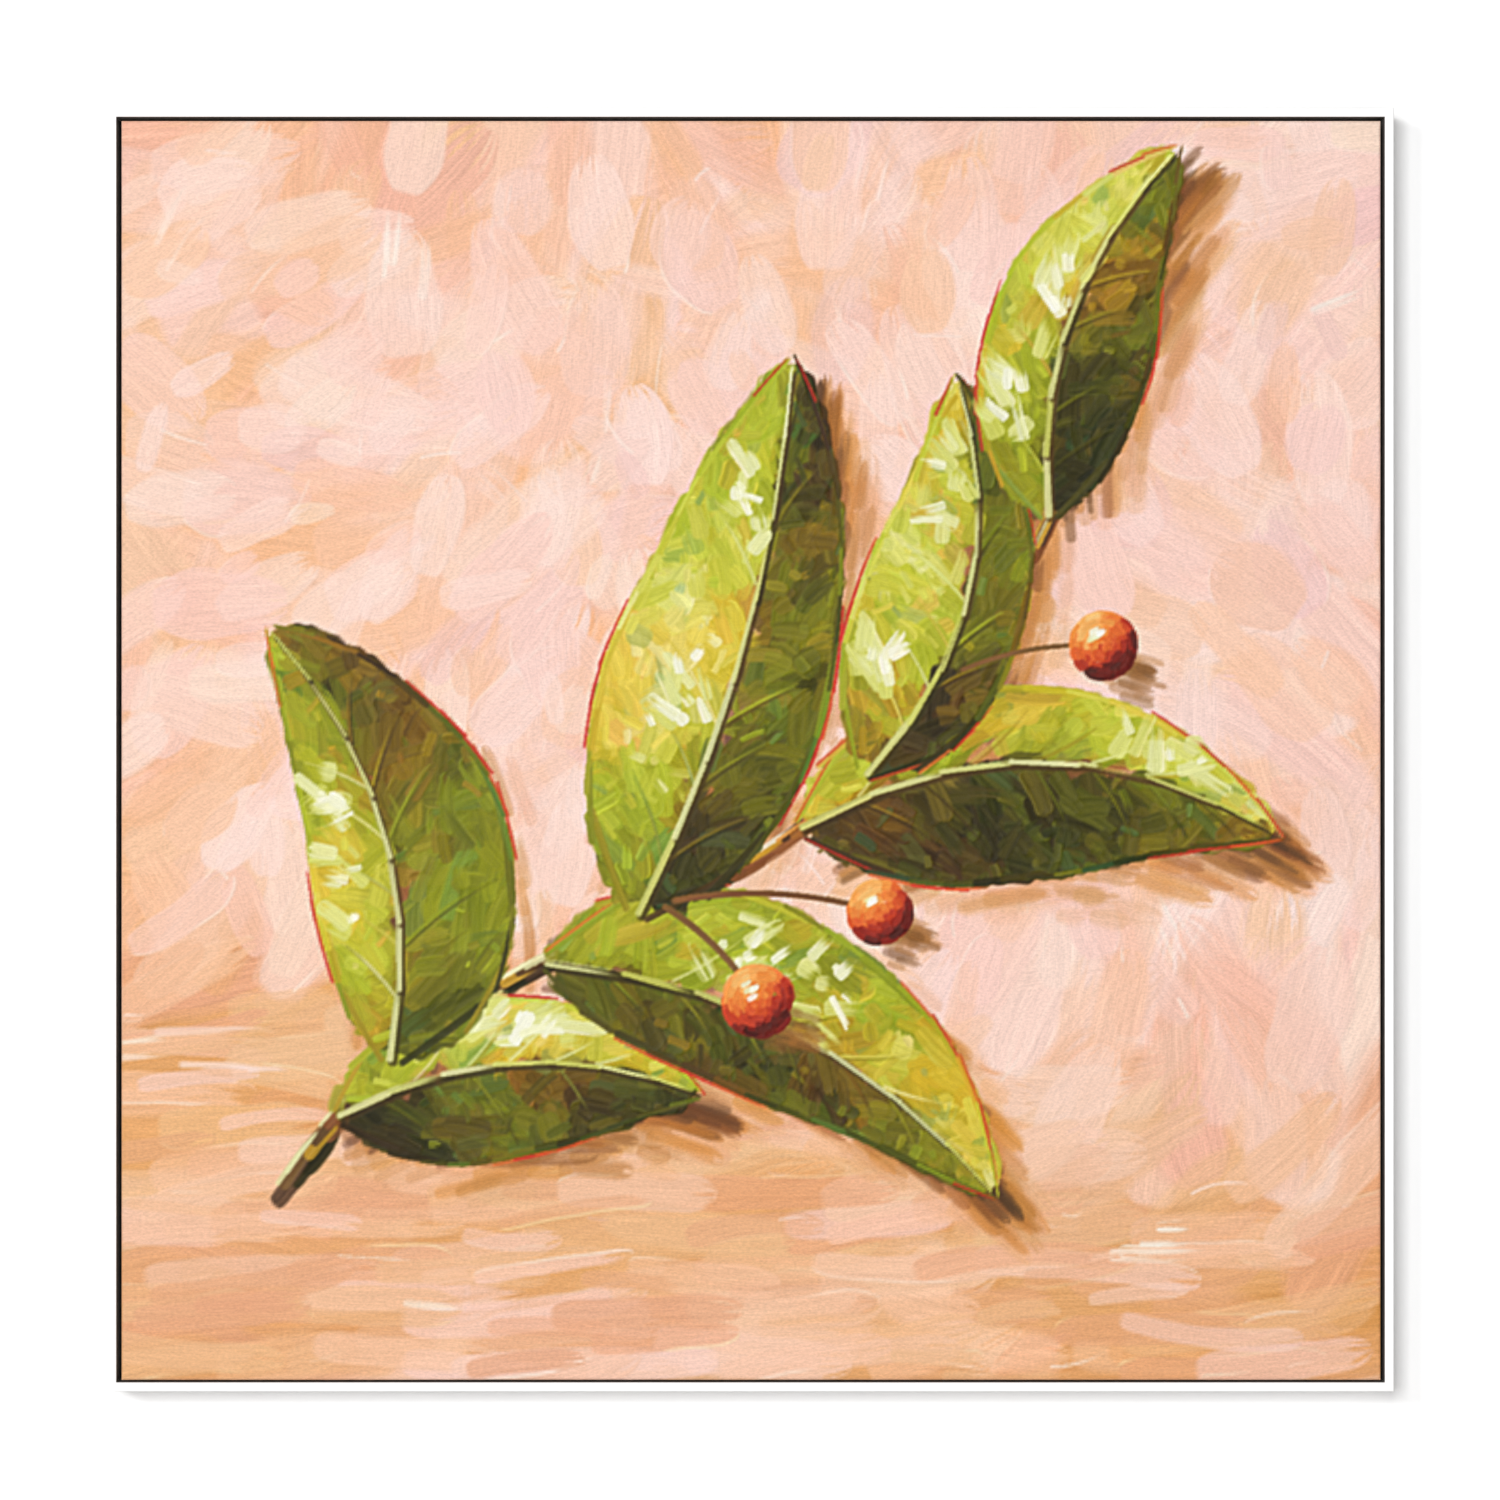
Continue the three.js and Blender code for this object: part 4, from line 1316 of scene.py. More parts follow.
BARK_SKIN = dict(streak=0.1, edge=0.3)
STALK = dict(bend=0.12, body=0.3, dry=0.3, streak=0.1, edge=0.4)
BERRY_SHADE = dict(cover=0.5, body=0.12, dry=0.25, pick=0.3, edge=0.6)
BERRY_SKIN = dict(cover=0.92, streak=0.08, edge=0.22)
GLINT = dict(cover=0.95, body=0.7, dry=0.1, edge=0.3)

VEINS = 7  # on each side of a leaf
# strokes per square millimetre, widths, lengths, how far they turn off the veins, lift, body, dryness,
# and how much wet paint they pick up
LEAF_COATS = (
    (1 / 210, (16, 26), (40, 90), 0.12, -0.16, 0.12, (0.0, 0.08), 0.1),
    (1 / 130, (12, 24), (22, 56), 0.4, 0.0, 0.24, (0.02, 0.3), 0.2),
    (1 / 230, (8, 18), (12, 40), 0.7, 0.02, 0.34, (0.1, 0.5), 0.4),
    (1 / 620, (4, 9), (7, 20), 1.0, 0.08, 0.45, (0.15, 0.6), 0.15),
)


def paint_leaf(paint, leaf, rng):
    """First coat, body colour, small dabs, veins, rib, margins and thick lights of one leaf."""
    for density, widths, lengths, stray, lift, body, dries, pick in LEAF_COATS:
        for _ in range(int(leaf.length * (leaf.wide[1] + leaf.wide[-1]) * 0.8 * density)):
            side = 1 if rng.random() < leaf.wide[1] / (leaf.wide[1] + leaf.wide[-1]) else -1
            t = rng.uniform(0.02, 0.96)
            width = rng.uniform(*widths)
            room = max(0.12, 1 - 0.5 * width / max(leaf.reach(t, side), 1))
            s = side * room * rng.uniform(0, 1)
            width = min(width, 3 + 0.9 * leaf.reach(t, side))
            start, end = leaf.stroke(t, s, rng.uniform(*lengths), rng.normal(0, stray), width)
            if hypot(*(end - start)) > 3:
                # some leaf strokes get a crest, raised and given a painted highlight
                paint.brush(start, end, width, leaf.tone(t, s, rng, lift), bend=-0.07 * side, body=body,
                            cover=rng.uniform(0.75, 0.96), dry=rng.uniform(*dries), pick=pick,
                            edge=rng.uniform(0.12, 0.45), crest_and_highlight=one_of(rng, (0, 0, 0.5)), **LEAF_SKIN)
    paint_veins(paint, leaf, rng)
    paint_margins(paint, leaf, rng)
    paint_lights(paint, leaf, rng)


# strokes, spread along and across the leaf, widths, lengths, how white, body
LIGHT_COATS = (
    (11, 0.055, 0.17, (8, 16), (14, 40), 0.25, 0.4),
    (7, 0.032, 0.1, (5, 11), (9, 28), 0.95, 0.7),
)


def paint_lights(paint, leaf, rng):
    """Clumps of thick pale paint on the side of the leaf that faces the lamp."""
    side = 1 if leaf.bright[1] > leaf.bright[-1] else -1
    for t in (rng.uniform(0.2, 0.4), rng.uniform(0.48, 0.74)):
        s, turn = rng.uniform(0.25, 0.6), rng.normal(0, 0.3)
        for count, spread_t, spread_s, widths, lengths, white, body in LIGHT_COATS:
            for _ in range(rng.integers(count // 2, count + 1)):
                near_t = t + rng.normal(0, spread_t)
                near_s = side * float(np.clip(s + rng.normal(0, spread_s), 0.08, 0.82))
                tone = mixed(mixed(GREENS[5], PALE, rng.random()), IVORY, white * rng.uniform(0.6, 1))
                start, end = leaf.stroke(near_t, near_s, rng.uniform(*lengths), turn + rng.normal(0, 0.5))
                paint.brush(start, end, rng.uniform(*widths), tone, body=body,
                            dry=rng.uniform(0.2, 0.6), **THICK_LIGHT)


RIB_LENGTHS = 7  # overlapping strokes along a midrib


def paint_veins(paint, leaf, rng):
    """Broken side veins, and a midrib in overlapping lengths with a dark side below it."""
    under = np.array([1.4, -2.0])
    for k in range(1, VEINS + 1):
        t = k / (VEINS + 1.5) + rng.normal(0, 0.012)
        for side in (-1, 1):
            if rng.random() < 0.2:
                continue
            lit = leaf.bright[side] > 0.5
            tone = leaf.tone(t, 0.3 * side, rng, 0.3 if lit else 0.22)
            start, end = leaf.at(t, 0.02 * side), leaf.at(t + 0.12, rng.uniform(0.5, 0.85) * side)
            paint.brush(start + under, end + under, 3.4, leaf.tone(t, 0.5 * side, rng, -0.22),
                        bend=-0.08 * side, **VEIN_SHADE)
            paint.brush(start, end, 2.8, tone, bend=-0.08 * side, **VEIN)
    for k in range(RIB_LENGTHS):
        t, following = k / RIB_LENGTHS, min(0.985, (k + 1.3) / RIB_LENGTHS)
        wide = 8.5 * (1 - 0.72 * t)
        start, end = leaf.at(t, 0), leaf.at(following, 0)
        paint.brush(start + 1.4 * under, end + 1.4 * under, wide,
                    mixed(GREENS[0], RUST, 0.4 * rng.random()), **RIB_SHADE)
        paint.brush(start, end, wide * 0.7, mixed(PALE, GREENS[5], 0.9 * rng.random()),
                    dry=rng.uniform(0.1, 0.45), **RIB)


MARGIN_STROKES = 13  # along each edge of a leaf


def paint_margins(paint, leaf, rng):
    """Strokes that tidy the leaf's edges, with a thin crimson or amber line here and there."""
    for side in (-1, 1):
        red = rng.uniform(0, 1)
        for k in range(MARGIN_STROKES):
            t = k / MARGIN_STROKES
            following = min(1.0, t + 0.14)
            lit = leaf.bright[side] > 0.5
            lift = rng.uniform(-0.05, 0.2) if lit else rng.uniform(-0.25, 0.1)
            width = rng.uniform(3, 7) * (1 - 0.6 * t ** 3)
            out = side * (0.97 - 0.5 * width / max(leaf.reach(t + 0.05, side), 8))
            paint.brush(leaf.at(t, out), leaf.at(following, out), width, leaf.tone(t, out, rng, lift),
                        bend=0.02 * side, **MARGIN)
            if sin(t * 9 + red * 6) > 0.25:
                paint.brush(leaf.at(t, 0.99 * side), leaf.at(following, 0.99 * side),
                            rng.uniform(1.5, 2.7), mixed(CRIMSON, AMBER, 0.7 * rng.random() ** 2),
                            bend=0.02 * side, **RED_LINE)


# tones, strokes to each CAST_LEAF of leaf, widths, how far past the leaf, cover, share of the drop
CAST_COATS = (
    ((mixed(PEACH, SIENNA, 0.42), mixed(PEACH, AMBER, 0.4), ROSY_TAN), 110, (16, 28), 1.08, 0.4, 1.12),
    ((SIENNA, mixed(SIENNA, AMBER, 0.5), mixed(SIENNA, PEACH, 0.35)), 170, (10, 20), 0.94, 0.5, 1.0),
    ((RUST, SIENNA, mixed(RUST, UMBER, 0.5)), 130, (8, 15), 0.76, 0.55, 0.8),
    ((UMBER, mixed(RUST, UMBER, 0.6)), 80, (6, 12), 0.62, 0.6, 0.5),
)
CAST_LEAF = 300
CAST_DROP = np.array((26, -30))  # the shadow falls to the lower right


def paint_cast(paint, leaf, rng):
    """The warm shadow that a leaf casts, darker towards the leaf."""
    for tones, count, widths, grow, cover, share in CAST_COATS:
        for _ in range(int(count * leaf.length / CAST_LEAF)):
            t, s = rng.uniform(0.05, 0.97), rng.uniform(-1, 1) * grow
            where = leaf.at(t, s) + CAST_DROP * share * (0.3 + 0.7 * t)
            run = bezier_run(leaf.rib, t) * rng.uniform(10, 30)
            tone = one_of(rng, tones) + rng.normal(0, SPRIG_STRAY, 3)
            paint.brush(where - run, where + run, rng.uniform(*widths), tone, bend=rng.normal(0, 0.05),
                        cover=cover, dry=rng.uniform(0.1, 0.35), **CAST_SHADE)


# sideways from the stem, widths, tones, cover, body, strokes
STEM_COATS = (
    ((2.6, -3.6), (12, 18), (UMBER, GREENS[0], RUST), 0.95, 0.2, 46),
    ((0, 0), (7, 12), (BARK, SIENNA, GOLD, RUST, UMBER), 0.85, 0.34, 50),
    ((-2.6, 3.2), (2.4, 5.5), (GOLD, AMBER, PALE, IVORY), 0.8, 0.55, 30),
)


def paint_stem(paint, rng):
    """The stem in overlapping lengths: its dark side, its bark and the light along it."""
    for across, widths, tones, cover, body, count in STEM_COATS:
        for k in range(count):
            t = min(0.96, k / count + rng.uniform(0, 0.02))
            thin = 1 - 0.5 * t
            shift = np.array(across) * thin + rng.normal(0, 1.0, 2)
            end = bezier(STEM, min(1, t + rng.uniform(0.04, 0.08)))
            paint.brush(bezier(STEM, t) + shift, end + shift, rng.uniform(*widths) * thin,
                        one_of(rng, tones), bend=rng.normal(0, 0.03), cover=cover, body=body,
                        dry=rng.uniform(0.1, 0.5), **BARK_SKIN)


# strokes, share of the radius that they keep within, widths, lengths, body
BERRY_COATS = (
    (60, 0.86, (9, 14), (12, 22), 0.12),
    (90, 0.9, (5, 9), (8, 20), 0.2),
    (40, 0.93, (3, 6), (8, 16), 0.26),
)
BERRY_SHADOW = 34  # strokes in the shadow under each fruit
BERRY_DROP = np.array((0.8, -0.75))  # where that shadow lies from the fruit's middle, in radii
BERRY_GLINTS = 5  # strokes in its highlight
STALK_STROKES = 3


def paint_berry(paint, where, radius, rng):
    """A round fruit: its shadow, its body turning from dark to light, and a thick highlight."""
    where = np.asarray(where, float)
    for _ in range(BERRY_SHADOW):
        spot = where + BERRY_DROP * radius + rng.normal(0, radius * 0.34, 2)
        run = np.array([1.0, -0.3]) * rng.uniform(5, 14)
        paint.brush(spot - run, spot + run, rng.uniform(6, 13), mixed(SIENNA, UMBER, 0.8 * rng.random()),
                    **BERRY_SHADE)
    for count, within, widths, lengths, body in BERRY_COATS:
        for _ in range(count):
            turn, out = rng.uniform(0, 2 * pi), within * rng.random() ** 0.5
            width = rng.uniform(*widths)
            out = min(out, 1 - 0.5 * width / radius)
            place = np.array([cos(turn), sin(turn)]) * out
            facing = float(np.dot(place, LAMP_SIDE)) * 0.72 + 0.62 * (1 - out * out) ** 0.5
            glow = 0.2 * max(0, -float(np.dot(place, LAMP_SIDE)) - 0.62)
            tone = graded(REDS, 0.05 + 0.78 * max(facing, 0) + glow + rng.normal(0, 0.045))
            spot = where + place * radius
            run = across_of((cos(turn), sin(turn))) * rng.uniform(*lengths) / 2 * (0.35 + 0.65 * out)
            paint.brush(spot - run, spot + run, width, tone, bend=-0.12 * out, body=body,
                        dry=rng.uniform(0, 0.25), **BERRY_SKIN)
    for k in range(BERRY_GLINTS):
        spot = where + LAMP_SIDE * radius * 0.42 + rng.normal(0, 2.0, 2)
        paint.brush(spot - (3.5, 2), spot + (3.5, 2), rng.uniform(3.5, 6),
                    mixed(PALE, IVORY, k / (BERRY_GLINTS - 1)), **GLINT)


def paint_sprig(paint, rng):
    """The whole sprig: shadows first, then stem, leaves and fruit."""
    leaves = []
    for t, off, *shape in LEAVES:
        run = bezier_run(STEM, t)
        leaves.append(Leaf(bezier(STEM, t), atan2(run[1], run[0]) + off, *shape, rng))
    for leaf in leaves:
        paint_cast(paint, leaf, rng)
    paint_stem(paint, rng)
    for leaf in leaves:
        paint_leaf(paint, leaf, rng)
    for (t, across, up), radius in zip(BERRIES, BERRY_RADII):
        where = bezier(STEM, t) + np.array([across, up])
        for _ in range(STALK_STROKES):
            paint.brush(bezier(STEM, t), where, rng.uniform(3, 5.5), mixed(BARK, RUST, rng.random()),
                        **STALK)
        paint_berry(paint, where, radius, rng)


# ---------------------------------------------------------------- the film of paint as a mesh

TILES = 3  # the film is made as this many tiles each way
TILE_STEPS = 222  # quads along a tile's side
CENTRE_STEP = 0.78  # spacing at the middle of the film, as a share of the average
FILM_SIDE = 914.0  # millimetres, just short of the canvas's own edge
EDGE_ROLL = 0.9  # millimetres over which the paint turns down at the film's edge
THINNEST = 0.12  # millimetres of paint at the very edge


def spread(share):
    """Places on the film from -1 to 1, closer together in the middle where the brushwork is finest."""
    return share * (CENTRE_STEP + (1 - CENTRE_STEP) * share * share)


def as_light(tone):
    """The amounts of light that screen values stand for."""
    return np.where(tone < 0.04045, tone / 12.92, ((tone + 0.055) / 1.055) ** 2.4)


def sampled(field, x, z, half):
    """A painting's values between its cells, for arrays of places in millimetres."""
    last = field.shape[0] - 1
    row = np.clip((z + half) / CELL, 0, last - 1e-4)
    column = np.clip((x + half) / CELL, 0, last - 1e-4)
    i, j = row.astype(int), column.astype(int)
    fy, fx = row - i, column - j
    if field.ndim == 3:
        fy, fx = fy[:, None], fx[:, None]
    near = field[i, j] * (1 - fx) + field[i, j + 1] * fx
    far = field[i + 1, j] * (1 - fx) + field[i + 1, j + 1] * fx
    return near * (1 - fy) + far * fy


FILM_THICK = (FILM_BOX[1].y - FILM_BOX[0].y) / MM
BUILD_UP = 2.6  # how much higher than a single stroke the dried paint stands
CRISP = 1.0  # how far the edges of strokes are sharpened


def softened(field, radius):
    """A field blurred both ways."""
    return box_blurred(box_blurred(field, radius, 0, 1), radius, 1, 1)


def painted():
    """Paints the whole picture, and gives back the paint with its depth over the film's back."""
    group = sizes("painting")
    rng = np.random.default_rng(group.seed)
    paint = WetPaint(FILM_SIDE, np.array(group.ground), rng)
    paint_ground(paint, rng)
    paint_dry_lights(paint, rng)
    paint_sprig(paint, rng)
    paint.depth = softened(paint.depth, 1) * BUILD_UP
    colour = softened(paint.colour, 1)
    paint.colour = np.clip(colour + CRISP * (colour - softened(colour, 3)), 0, 1)
    limit = group.relief / MM
    lines = np.abs(np.linspace(-paint.half, paint.half, paint.count))
    inward = np.clip((paint.half - lines) / EDGE_ROLL, 0, 1)
    roll = np.sqrt(1 - (1 - inward) ** 2)
    depth = FILM_THICK + limit * np.tanh(paint.depth / limit)
    paint.depth = np.maximum(depth * np.minimum(roll[:, None], roll[None, :]), THINNEST)
    return paint


def film_tile(paint, column, row):
    """One closed tile of the film: brushed relief in front, straight sides and a flat back."""
    bm = bmesh.new()
    bmesh.ops.create_grid(bm, x_segments=TILE_STEPS, y_segments=TILE_STEPS, size=1)
    drawn_out(bm, open_edges(bm.edges), (0, 0, -1))
    bmesh.ops.contextual_create(bm, geom=open_edges(bm.edges))
    bmesh.ops.recalc_face_normals(bm, faces=bm.faces)
    mesh = plain_mesh("paint_film", bm)
    low, high = FILM_BOX
    grid = values_of(mesh.vertices, "co", 3)
    share_x = (2 * column + 1 + grid[:, 0]) / TILES - 1
    share_z = (2 * row + 1 + grid[:, 1]) / TILES - 1
    x, z = spread(share_x) * paint.half, spread(share_z) * paint.half
    front = grid[:, 2] > -0.5
    depth = sampled(paint.depth, x, z, paint.half)
    middle = (low + high) / 2
    spots = np.stack([x * MM + middle.x, high.y - np.where(front, depth, 0) * MM,
                      z * MM + middle.z], 1)
    mesh.vertices.foreach_set("co", spots.ravel())
    light = as_light(sampled(paint.colour, x, z, paint.half))
    thick = np.clip((depth - FILM_THICK) / (sizes("painting").relief / MM), 0, 1)
    layer = mesh.color_attributes.new("paint", "FLOAT_COLOR", "POINT")
    layer.data.foreach_set("color", np.column_stack([light, thick]).astype(np.float32).ravel())
    lay_bristles(mesh, paint, x, z, front)
    return mesh


def lay_bristles(mesh, paint, x, z, front):
    """Maps each quad across and along the stroke that it lies in, and shades the relief across tiles."""
    corners, totals = corners_of(mesh)
    owner = np.repeat(np.arange(len(totals)), totals)
    middle_x = np.bincount(owner, x[corners]) / totals
    middle_z = np.bincount(owner, z[corners]) / totals
    row, column = (np.clip(cells, 0, paint.count - 1) for cells in paint.cells(middle_x, middle_z))
    across, along, turn = paint.bristle[row, column][owner].T
    dx, dz = x[corners] - middle_x[owner], z[corners] - middle_z[owner]
    along = along + dx * np.cos(turn) + dz * np.sin(turn)
    across = across - dx * np.sin(turn) + dz * np.cos(turn)
    places = np.stack([across, along], 1) * MM
    mesh.uv_layers.new(name="bristles").uv.foreach_set("vector", places.astype(np.float32).ravel())
    slope_z, slope_x = np.gradient(paint.depth, CELL)
    normal = np.stack([-sampled(slope_x, x, z, paint.half), -np.ones_like(x),
                       -sampled(slope_z, x, z, paint.half)], 1)
    normal /= np.linalg.norm(normal, axis=1, keepdims=True)
    facing = np.bincount(owner, front[corners]) == totals
    mesh.polygons.foreach_set("use_smooth", facing)
    normal = np.where(facing[owner][:, None], normal[corners], 0)
    mesh.normals_split_custom_set(normal.tolist())


class PICTURE_OT_painting(Operator):
    """Paints the picture and makes its film of paint"""

    bl_idname = "picture.painting"
    bl_label = "Painting"

    def execute(self, context):
        paint = painted()
        material = finish("brushed_oil", brushed_oil)
        for row, upright in enumerate(("bottom", "middle", "top")):
            for column, level in enumerate(("left", "centre", "right")):
                mesh = film_tile(paint, column, row)
                placed(f"paint_{upright}_{level}", mesh, [material], ["paint_film"])
        return {"FINISHED"}


# ---------------------------------------------------------------- fixings

STAPLE_SEED = 3
STAPLE_INSET = 26 * MM  # from the canvas's edge to the row of staples
STAPLE_SKEW = 0.09  # radians
STAPLE_STRAY = (1.5 * MM, 0.6 * MM)  # along the row and across it
STAPLE_DEPTH = 3 * MM
STAPLE_SHOULDER = 0.7 * MM  # how round the wire bends
STAPLE_EASING = 0.2 * MM
WIRE_FLATNESS = 0.55  # its thickness as a share of its width


class PICTURE_OT_staples(Operator):
    """Makes the staples that hold the hem to the bars"""

    bl_idname = "picture.staples"
    bl_label = "Staples"

    def execute(self, context):
        steel = finish("staple_steel", plated_steel, STAPLE)
        rng = np.random.default_rng(STAPLE_SEED)
        places, _ = staple_places()
        for side in SIDES:
            row = bmesh.new()
            for along in places:
                bm = staple()
                skew = Matrix.Rotation(rng.normal(0, STAPLE_SKEW), 4, "Y")
                shift = Matrix.Translation((along + rng.normal(0, STAPLE_STRAY[0]), CLOTH_BOX[1].y,
                                            rng.normal(0, STAPLE_STRAY[1]) - STAPLE_INSET))
                bmesh.ops.transform(bm, matrix=shift @ skew, verts=bm.verts)
                mesh = plain_mesh("staple", bm)
                row.from_mesh(mesh)
                bpy.data.meshes.remove(mesh)
            laid_on(row, side, CANVAS_CENTRE, 2 * CANVAS_HALF, 2 * CANVAS_HALF)
            placed(f"staples_{side}", meshed("staples", row, sharp=50), [steel])
        return {"FINISHED"}


def staple():
    """A staple driven home: a flat wire crown that turns down into the wood at both ends."""
    crown, wire = sizes("fixings").staple_crown, sizes("fixings").staple_wire
    bm = bmesh.new()
    bmesh.ops.create_cube(bm, size=1)
    bmesh.ops.scale(bm, vec=(crown, STAPLE_DEPTH, wire), verts=bm.verts)
    bmesh.ops.translate(bm, vec=(0, wire * WIRE_FLATNESS - STAPLE_DEPTH / 2, 0), verts=bm.verts)
    top = [e for e in bm.edges if all(v.co.y > 0 for v in e.verts)]
    rounded(bm, [e for e in top if e.calc_length() < crown / 2], STAPLE_SHOULDER)
    long = [e for e in bm.edges if e.calc_length() > crown / 2 and all(v.co.y > 0 for v in e.verts)]
    rounded(bm, long, STAPLE_EASING, 2)
    return bm


HANGER_EASING = 0.15 * MM


class PICTURE_OT_hangers(Operator):
    """Makes the sawtooth hangers, their nails and the screws through the frame's ledge"""

    bl_idname = "picture.hangers"
    bl_label = "Hangers and Screws"

    def execute(self, context):
        brass = finish("brass_plate", plated_steel, BRASS)
        zinc = finish("zinc_plate", plated_steel, ZINC)
        for hand in HANDS:
            eased(f"sawtooth_{hand}", f"hanger_{hand}", brass, HANGER_EASING)
            for number in (1, 2):
                node = f"nail_{hand}_{number}"
                eased(f"hanger_{node}", node, brass)
        for side in SIDES:
            for number in (1, 2):
                node = f"screw_{side}_{number}"
                eased(f"pan_{node}", node, zinc, sharp=40)
        return {"FINISHED"}


FELT_SIDES = 48
FELT_ROUNDING = 0.9 * MM


class PICTURE_OT_bumpers(Operator):
    """Makes the felt pads that keep the bottom rail off the wall"""

    bl_idname = "picture.bumpers"
    bl_label = "Bumpers"

    def execute(self, context):
        felt = finish("pressed_felt", pressed_felt)
        for hand in HANDS:
            node = f"bumper_{hand}"
            low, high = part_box(node)
            bm = bmesh.new()
            bmesh.ops.create_cone(bm, cap_ends=True, segments=FELT_SIDES, radius1=0.5, radius2=0.5, depth=1)
            bmesh.ops.transform(bm, verts=bm.verts, matrix=Matrix.Translation(middle_of(node))
                                @ Matrix.Diagonal((*(high - low), 1)) @ Matrix.Rotation(pi / 2, 4, "X"))
            rim = [e for e in bm.edges if all(v.co.y > high.y - NEAR for v in e.verts)]
            rounded(bm, rim, FELT_ROUNDING, 4)
            placed(f"felt_pad_{hand}", meshed(node, bm), [felt], [node])
        return {"FINISHED"}


# ---------------------------------------------------------------- the studio

WALL = (9, 5)
WALL_GAP = 0.1 * MM  # behind the picture
FLOOR = (16, 16)
FLOOR_FADES = (3.0, 7.5)  # metres from the picture
# each lamp's width, and its place from the picture's middle
LAMPS = {
    "main_lamp": (2.6, (-1.46, -9.2, 1.12)),
    "rake_lamp": (1.0, (-3.7, -7.4, 1.8)),
    "back_lamp": (2.2, (3.2, 6.4, 3.4)),
}
SENSOR = 36  # millimetres
AIM = (-0.4 * MM, -0.3 * MM)  # sideways and up from the frame's middle, where the camera looks


def one_sided_wall(f):
    """White paint that is there only from in front, so that the picture's back can be looked at too."""
    grain = f.noise(f.place(), 240, 2.0)
    shader = f.node("ShaderNodeBsdfPrincipled", {}, {
        "Base Color": (0.97, 0.97, 0.97), "Roughness": 0.95, "Specular IOR Level": 0.0,
        "Emission Color": (1, 1, 1), "Emission Strength": sizes("studio").glow,
        "Normal": f.node("ShaderNodeBump", {}, {"Strength": 0.15, "Distance": 0.2 * MM, "Height": grain})})
    clear = f.node("ShaderNodeBsdfTransparent")
    behind = f.node("ShaderNodeNewGeometry", {}, {}, "Backfacing")
    both = f.node("ShaderNodeMixShader", {}, {0: behind, 1: shader, 2: clear})
    f.node("ShaderNodeOutputMaterial", {}, {"Surface": both})
    return f.material


def floor_paint(f):
    """Pale, even floor that fades into the backdrop a few metres from the picture."""
    where = f.place()
    cloud = f.noise(where, 1.5, 2.0)
    far = f.node("ShaderNodeVectorMath", {"operation": "LENGTH"}, {0: where}, "Value")
    near, gone = FLOOR_FADES
    return f.surface(f.shaded((0.82, 0.81, 0.8), cloud * 0.05 + 0.975), 0.8, cloud, 0.2 * MM,
                     Alpha=f.ramp(far, gone, near))


def white_sky(f):
    """Even white light from all round, which looks brighter than it shines."""
    group = sizes("studio")
    seen = f.node("ShaderNodeLightPath", output="Is Camera Ray")
    strength = f.node("ShaderNodeMapRange", {}, {
        "Value": seen, "To Min": group.sky, "To Max": group.backdrop})
    light = f.node("ShaderNodeBackground", {}, {"Color": (1, 1, 1), "Strength": strength})
    f.node("ShaderNodeOutputWorld", {}, {"Surface": light})


class PICTURE_OT_studio(Operator):
    """Sets up the wall, the floor, soft light and the camera"""

    bl_idname = "picture.studio"
    bl_label = "Studio"

    def execute(self, context):
        group, scene = sizes("studio"), context.scene
        wall = stage_sheet("wall", WALL, Matrix.Rotation(pi / 2, 4, "X"),
                           (0, CAD_BOX[1][1] + WALL_GAP, group.floor + WALL[1] / 2),
                           finish("wall_paint", one_sided_wall))
        for flag in ("diffuse", "glossy", "transmission", "volume_scatter", "shadow"):
            setattr(wall, f"visible_{flag}", False)
        stage_sheet("floor", FLOOR, Matrix(), (0, 0, group.floor), finish("floor_paint", floor_paint))
        for name, (size, offset) in LAMPS.items():
            add_lamp(name, getattr(group, name), size, offset)
        scene.world = bpy.data.worlds.new("studio_sky")
        white_sky(Finish(scene.world))
        lens = bpy.data.cameras.new("camera")
        lens.lens = group.lens
        lens.sensor_width = SENSOR
        camera = linked("camera", lens)
        away = group.across * group.lens / SENSOR
        camera.location = (FRAME_CENTRE.x + AIM[0], FRAME_BOX[0].y - away, FRAME_CENTRE.z + AIM[1])
        camera.rotation_euler = (pi / 2, 0, 0)
        scene.camera = camera
        scene.view_settings.view_transform = "Standard"
        return {"FINISHED"}


def stage_sheet(name, size, turn, where, material):
    """A flat sheet of the stage."""
    bm = bmesh.new()
    bmesh.ops.create_grid(bm, x_segments=1, y_segments=1, size=0.5)
    bmesh.ops.scale(bm, vec=(*size, 1), verts=bm.verts)
    bmesh.ops.transform(bm, matrix=Matrix.Translation(where) @ turn, verts=bm.verts)
    mesh = plain_mesh(name, bm)
    mesh.materials.append(material)
    made = linked(name, mesh)
    return made


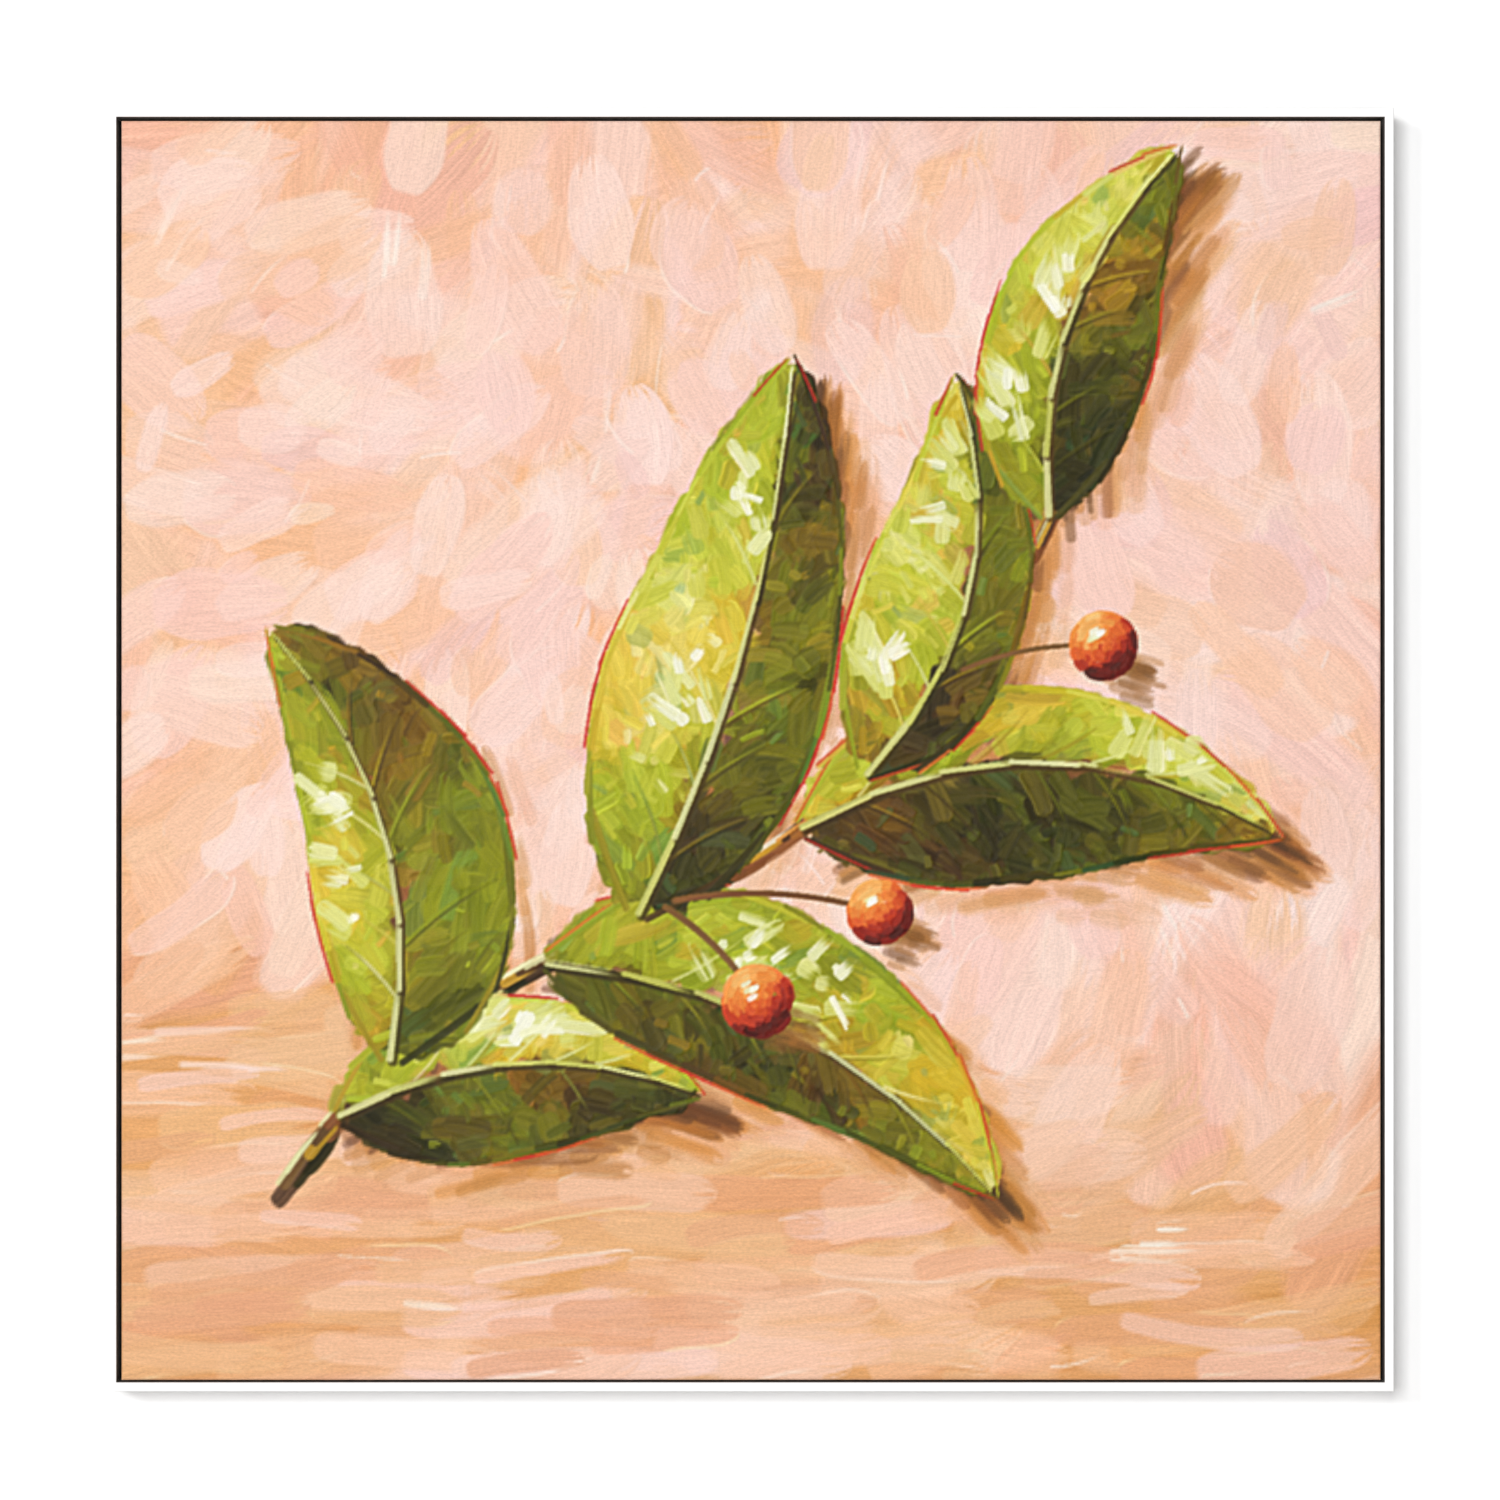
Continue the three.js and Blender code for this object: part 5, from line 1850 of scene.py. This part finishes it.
def add_lamp(name, power, size, offset):
    """A square soft lamp that looks at the picture and isn't seen itself."""
    light = bpy.data.lights.new(name, "AREA")
    light.energy = power
    light.size = size
    lamp = linked(name, light)
    lamp.location = Vector((FRAME_CENTRE.x, 0, FRAME_CENTRE.z)) + Vector(offset)
    lamp.rotation_euler = (-Vector(offset)).to_track_quat("-Z", "Y").to_euler()
    lamp.visible_camera = False


# ---------------------------------------------------------------- the add-on

GROUPS = {
    "frame": PICTURE_PG_frame,
    "canvas": PICTURE_PG_canvas,
    "painting": PICTURE_PG_painting,
    "fixings": PICTURE_PG_fixings,
    "studio": PICTURE_PG_studio,
}
OPERATORS = (
    PICTURE_OT_studio,
    PICTURE_OT_frame_rails,
    PICTURE_OT_wedge_nails,
    PICTURE_OT_stretcher,
    PICTURE_OT_canvas,
    PICTURE_OT_painting,
    PICTURE_OT_staples,
    PICTURE_OT_hangers,
    PICTURE_OT_bumpers,
)


class PICTURE_PT_maker(Panel):
    """Lists the steps that make the picture, and its sizes and colours"""

    bl_idname = "PICTURE_PT_maker"
    bl_label = "Framed Canvas Picture"
    bl_space_type = "VIEW_3D"
    bl_region_type = "UI"
    bl_category = "Picture"

    def draw(self, context):
        for operator in OPERATORS:
            self.layout.operator(operator.bl_idname)
        for name in GROUPS:
            group = getattr(context.scene, f"picture_{name}")
            box = self.layout.box()
            box.label(text=name.title())
            for key in group.__annotations__:
                box.prop(group, key)


def register():
    for cls in (*GROUPS.values(), *OPERATORS, PICTURE_PT_maker):
        bpy.utils.register_class(cls)
    for name, group in GROUPS.items():
        setattr(bpy.types.Scene, f"picture_{name}", PointerProperty(type=group))


def unregister():
    for name in GROUPS:
        delattr(bpy.types.Scene, f"picture_{name}")
    for cls in (PICTURE_PT_maker, *reversed(OPERATORS), *reversed(GROUPS.values())):
        bpy.utils.unregister_class(cls)


def main():
    register()
    for operator in OPERATORS:
        group, name = operator.bl_idname.split(".")
        getattr(getattr(bpy.ops, group), name)()


if __name__ == "__main__":
    main()
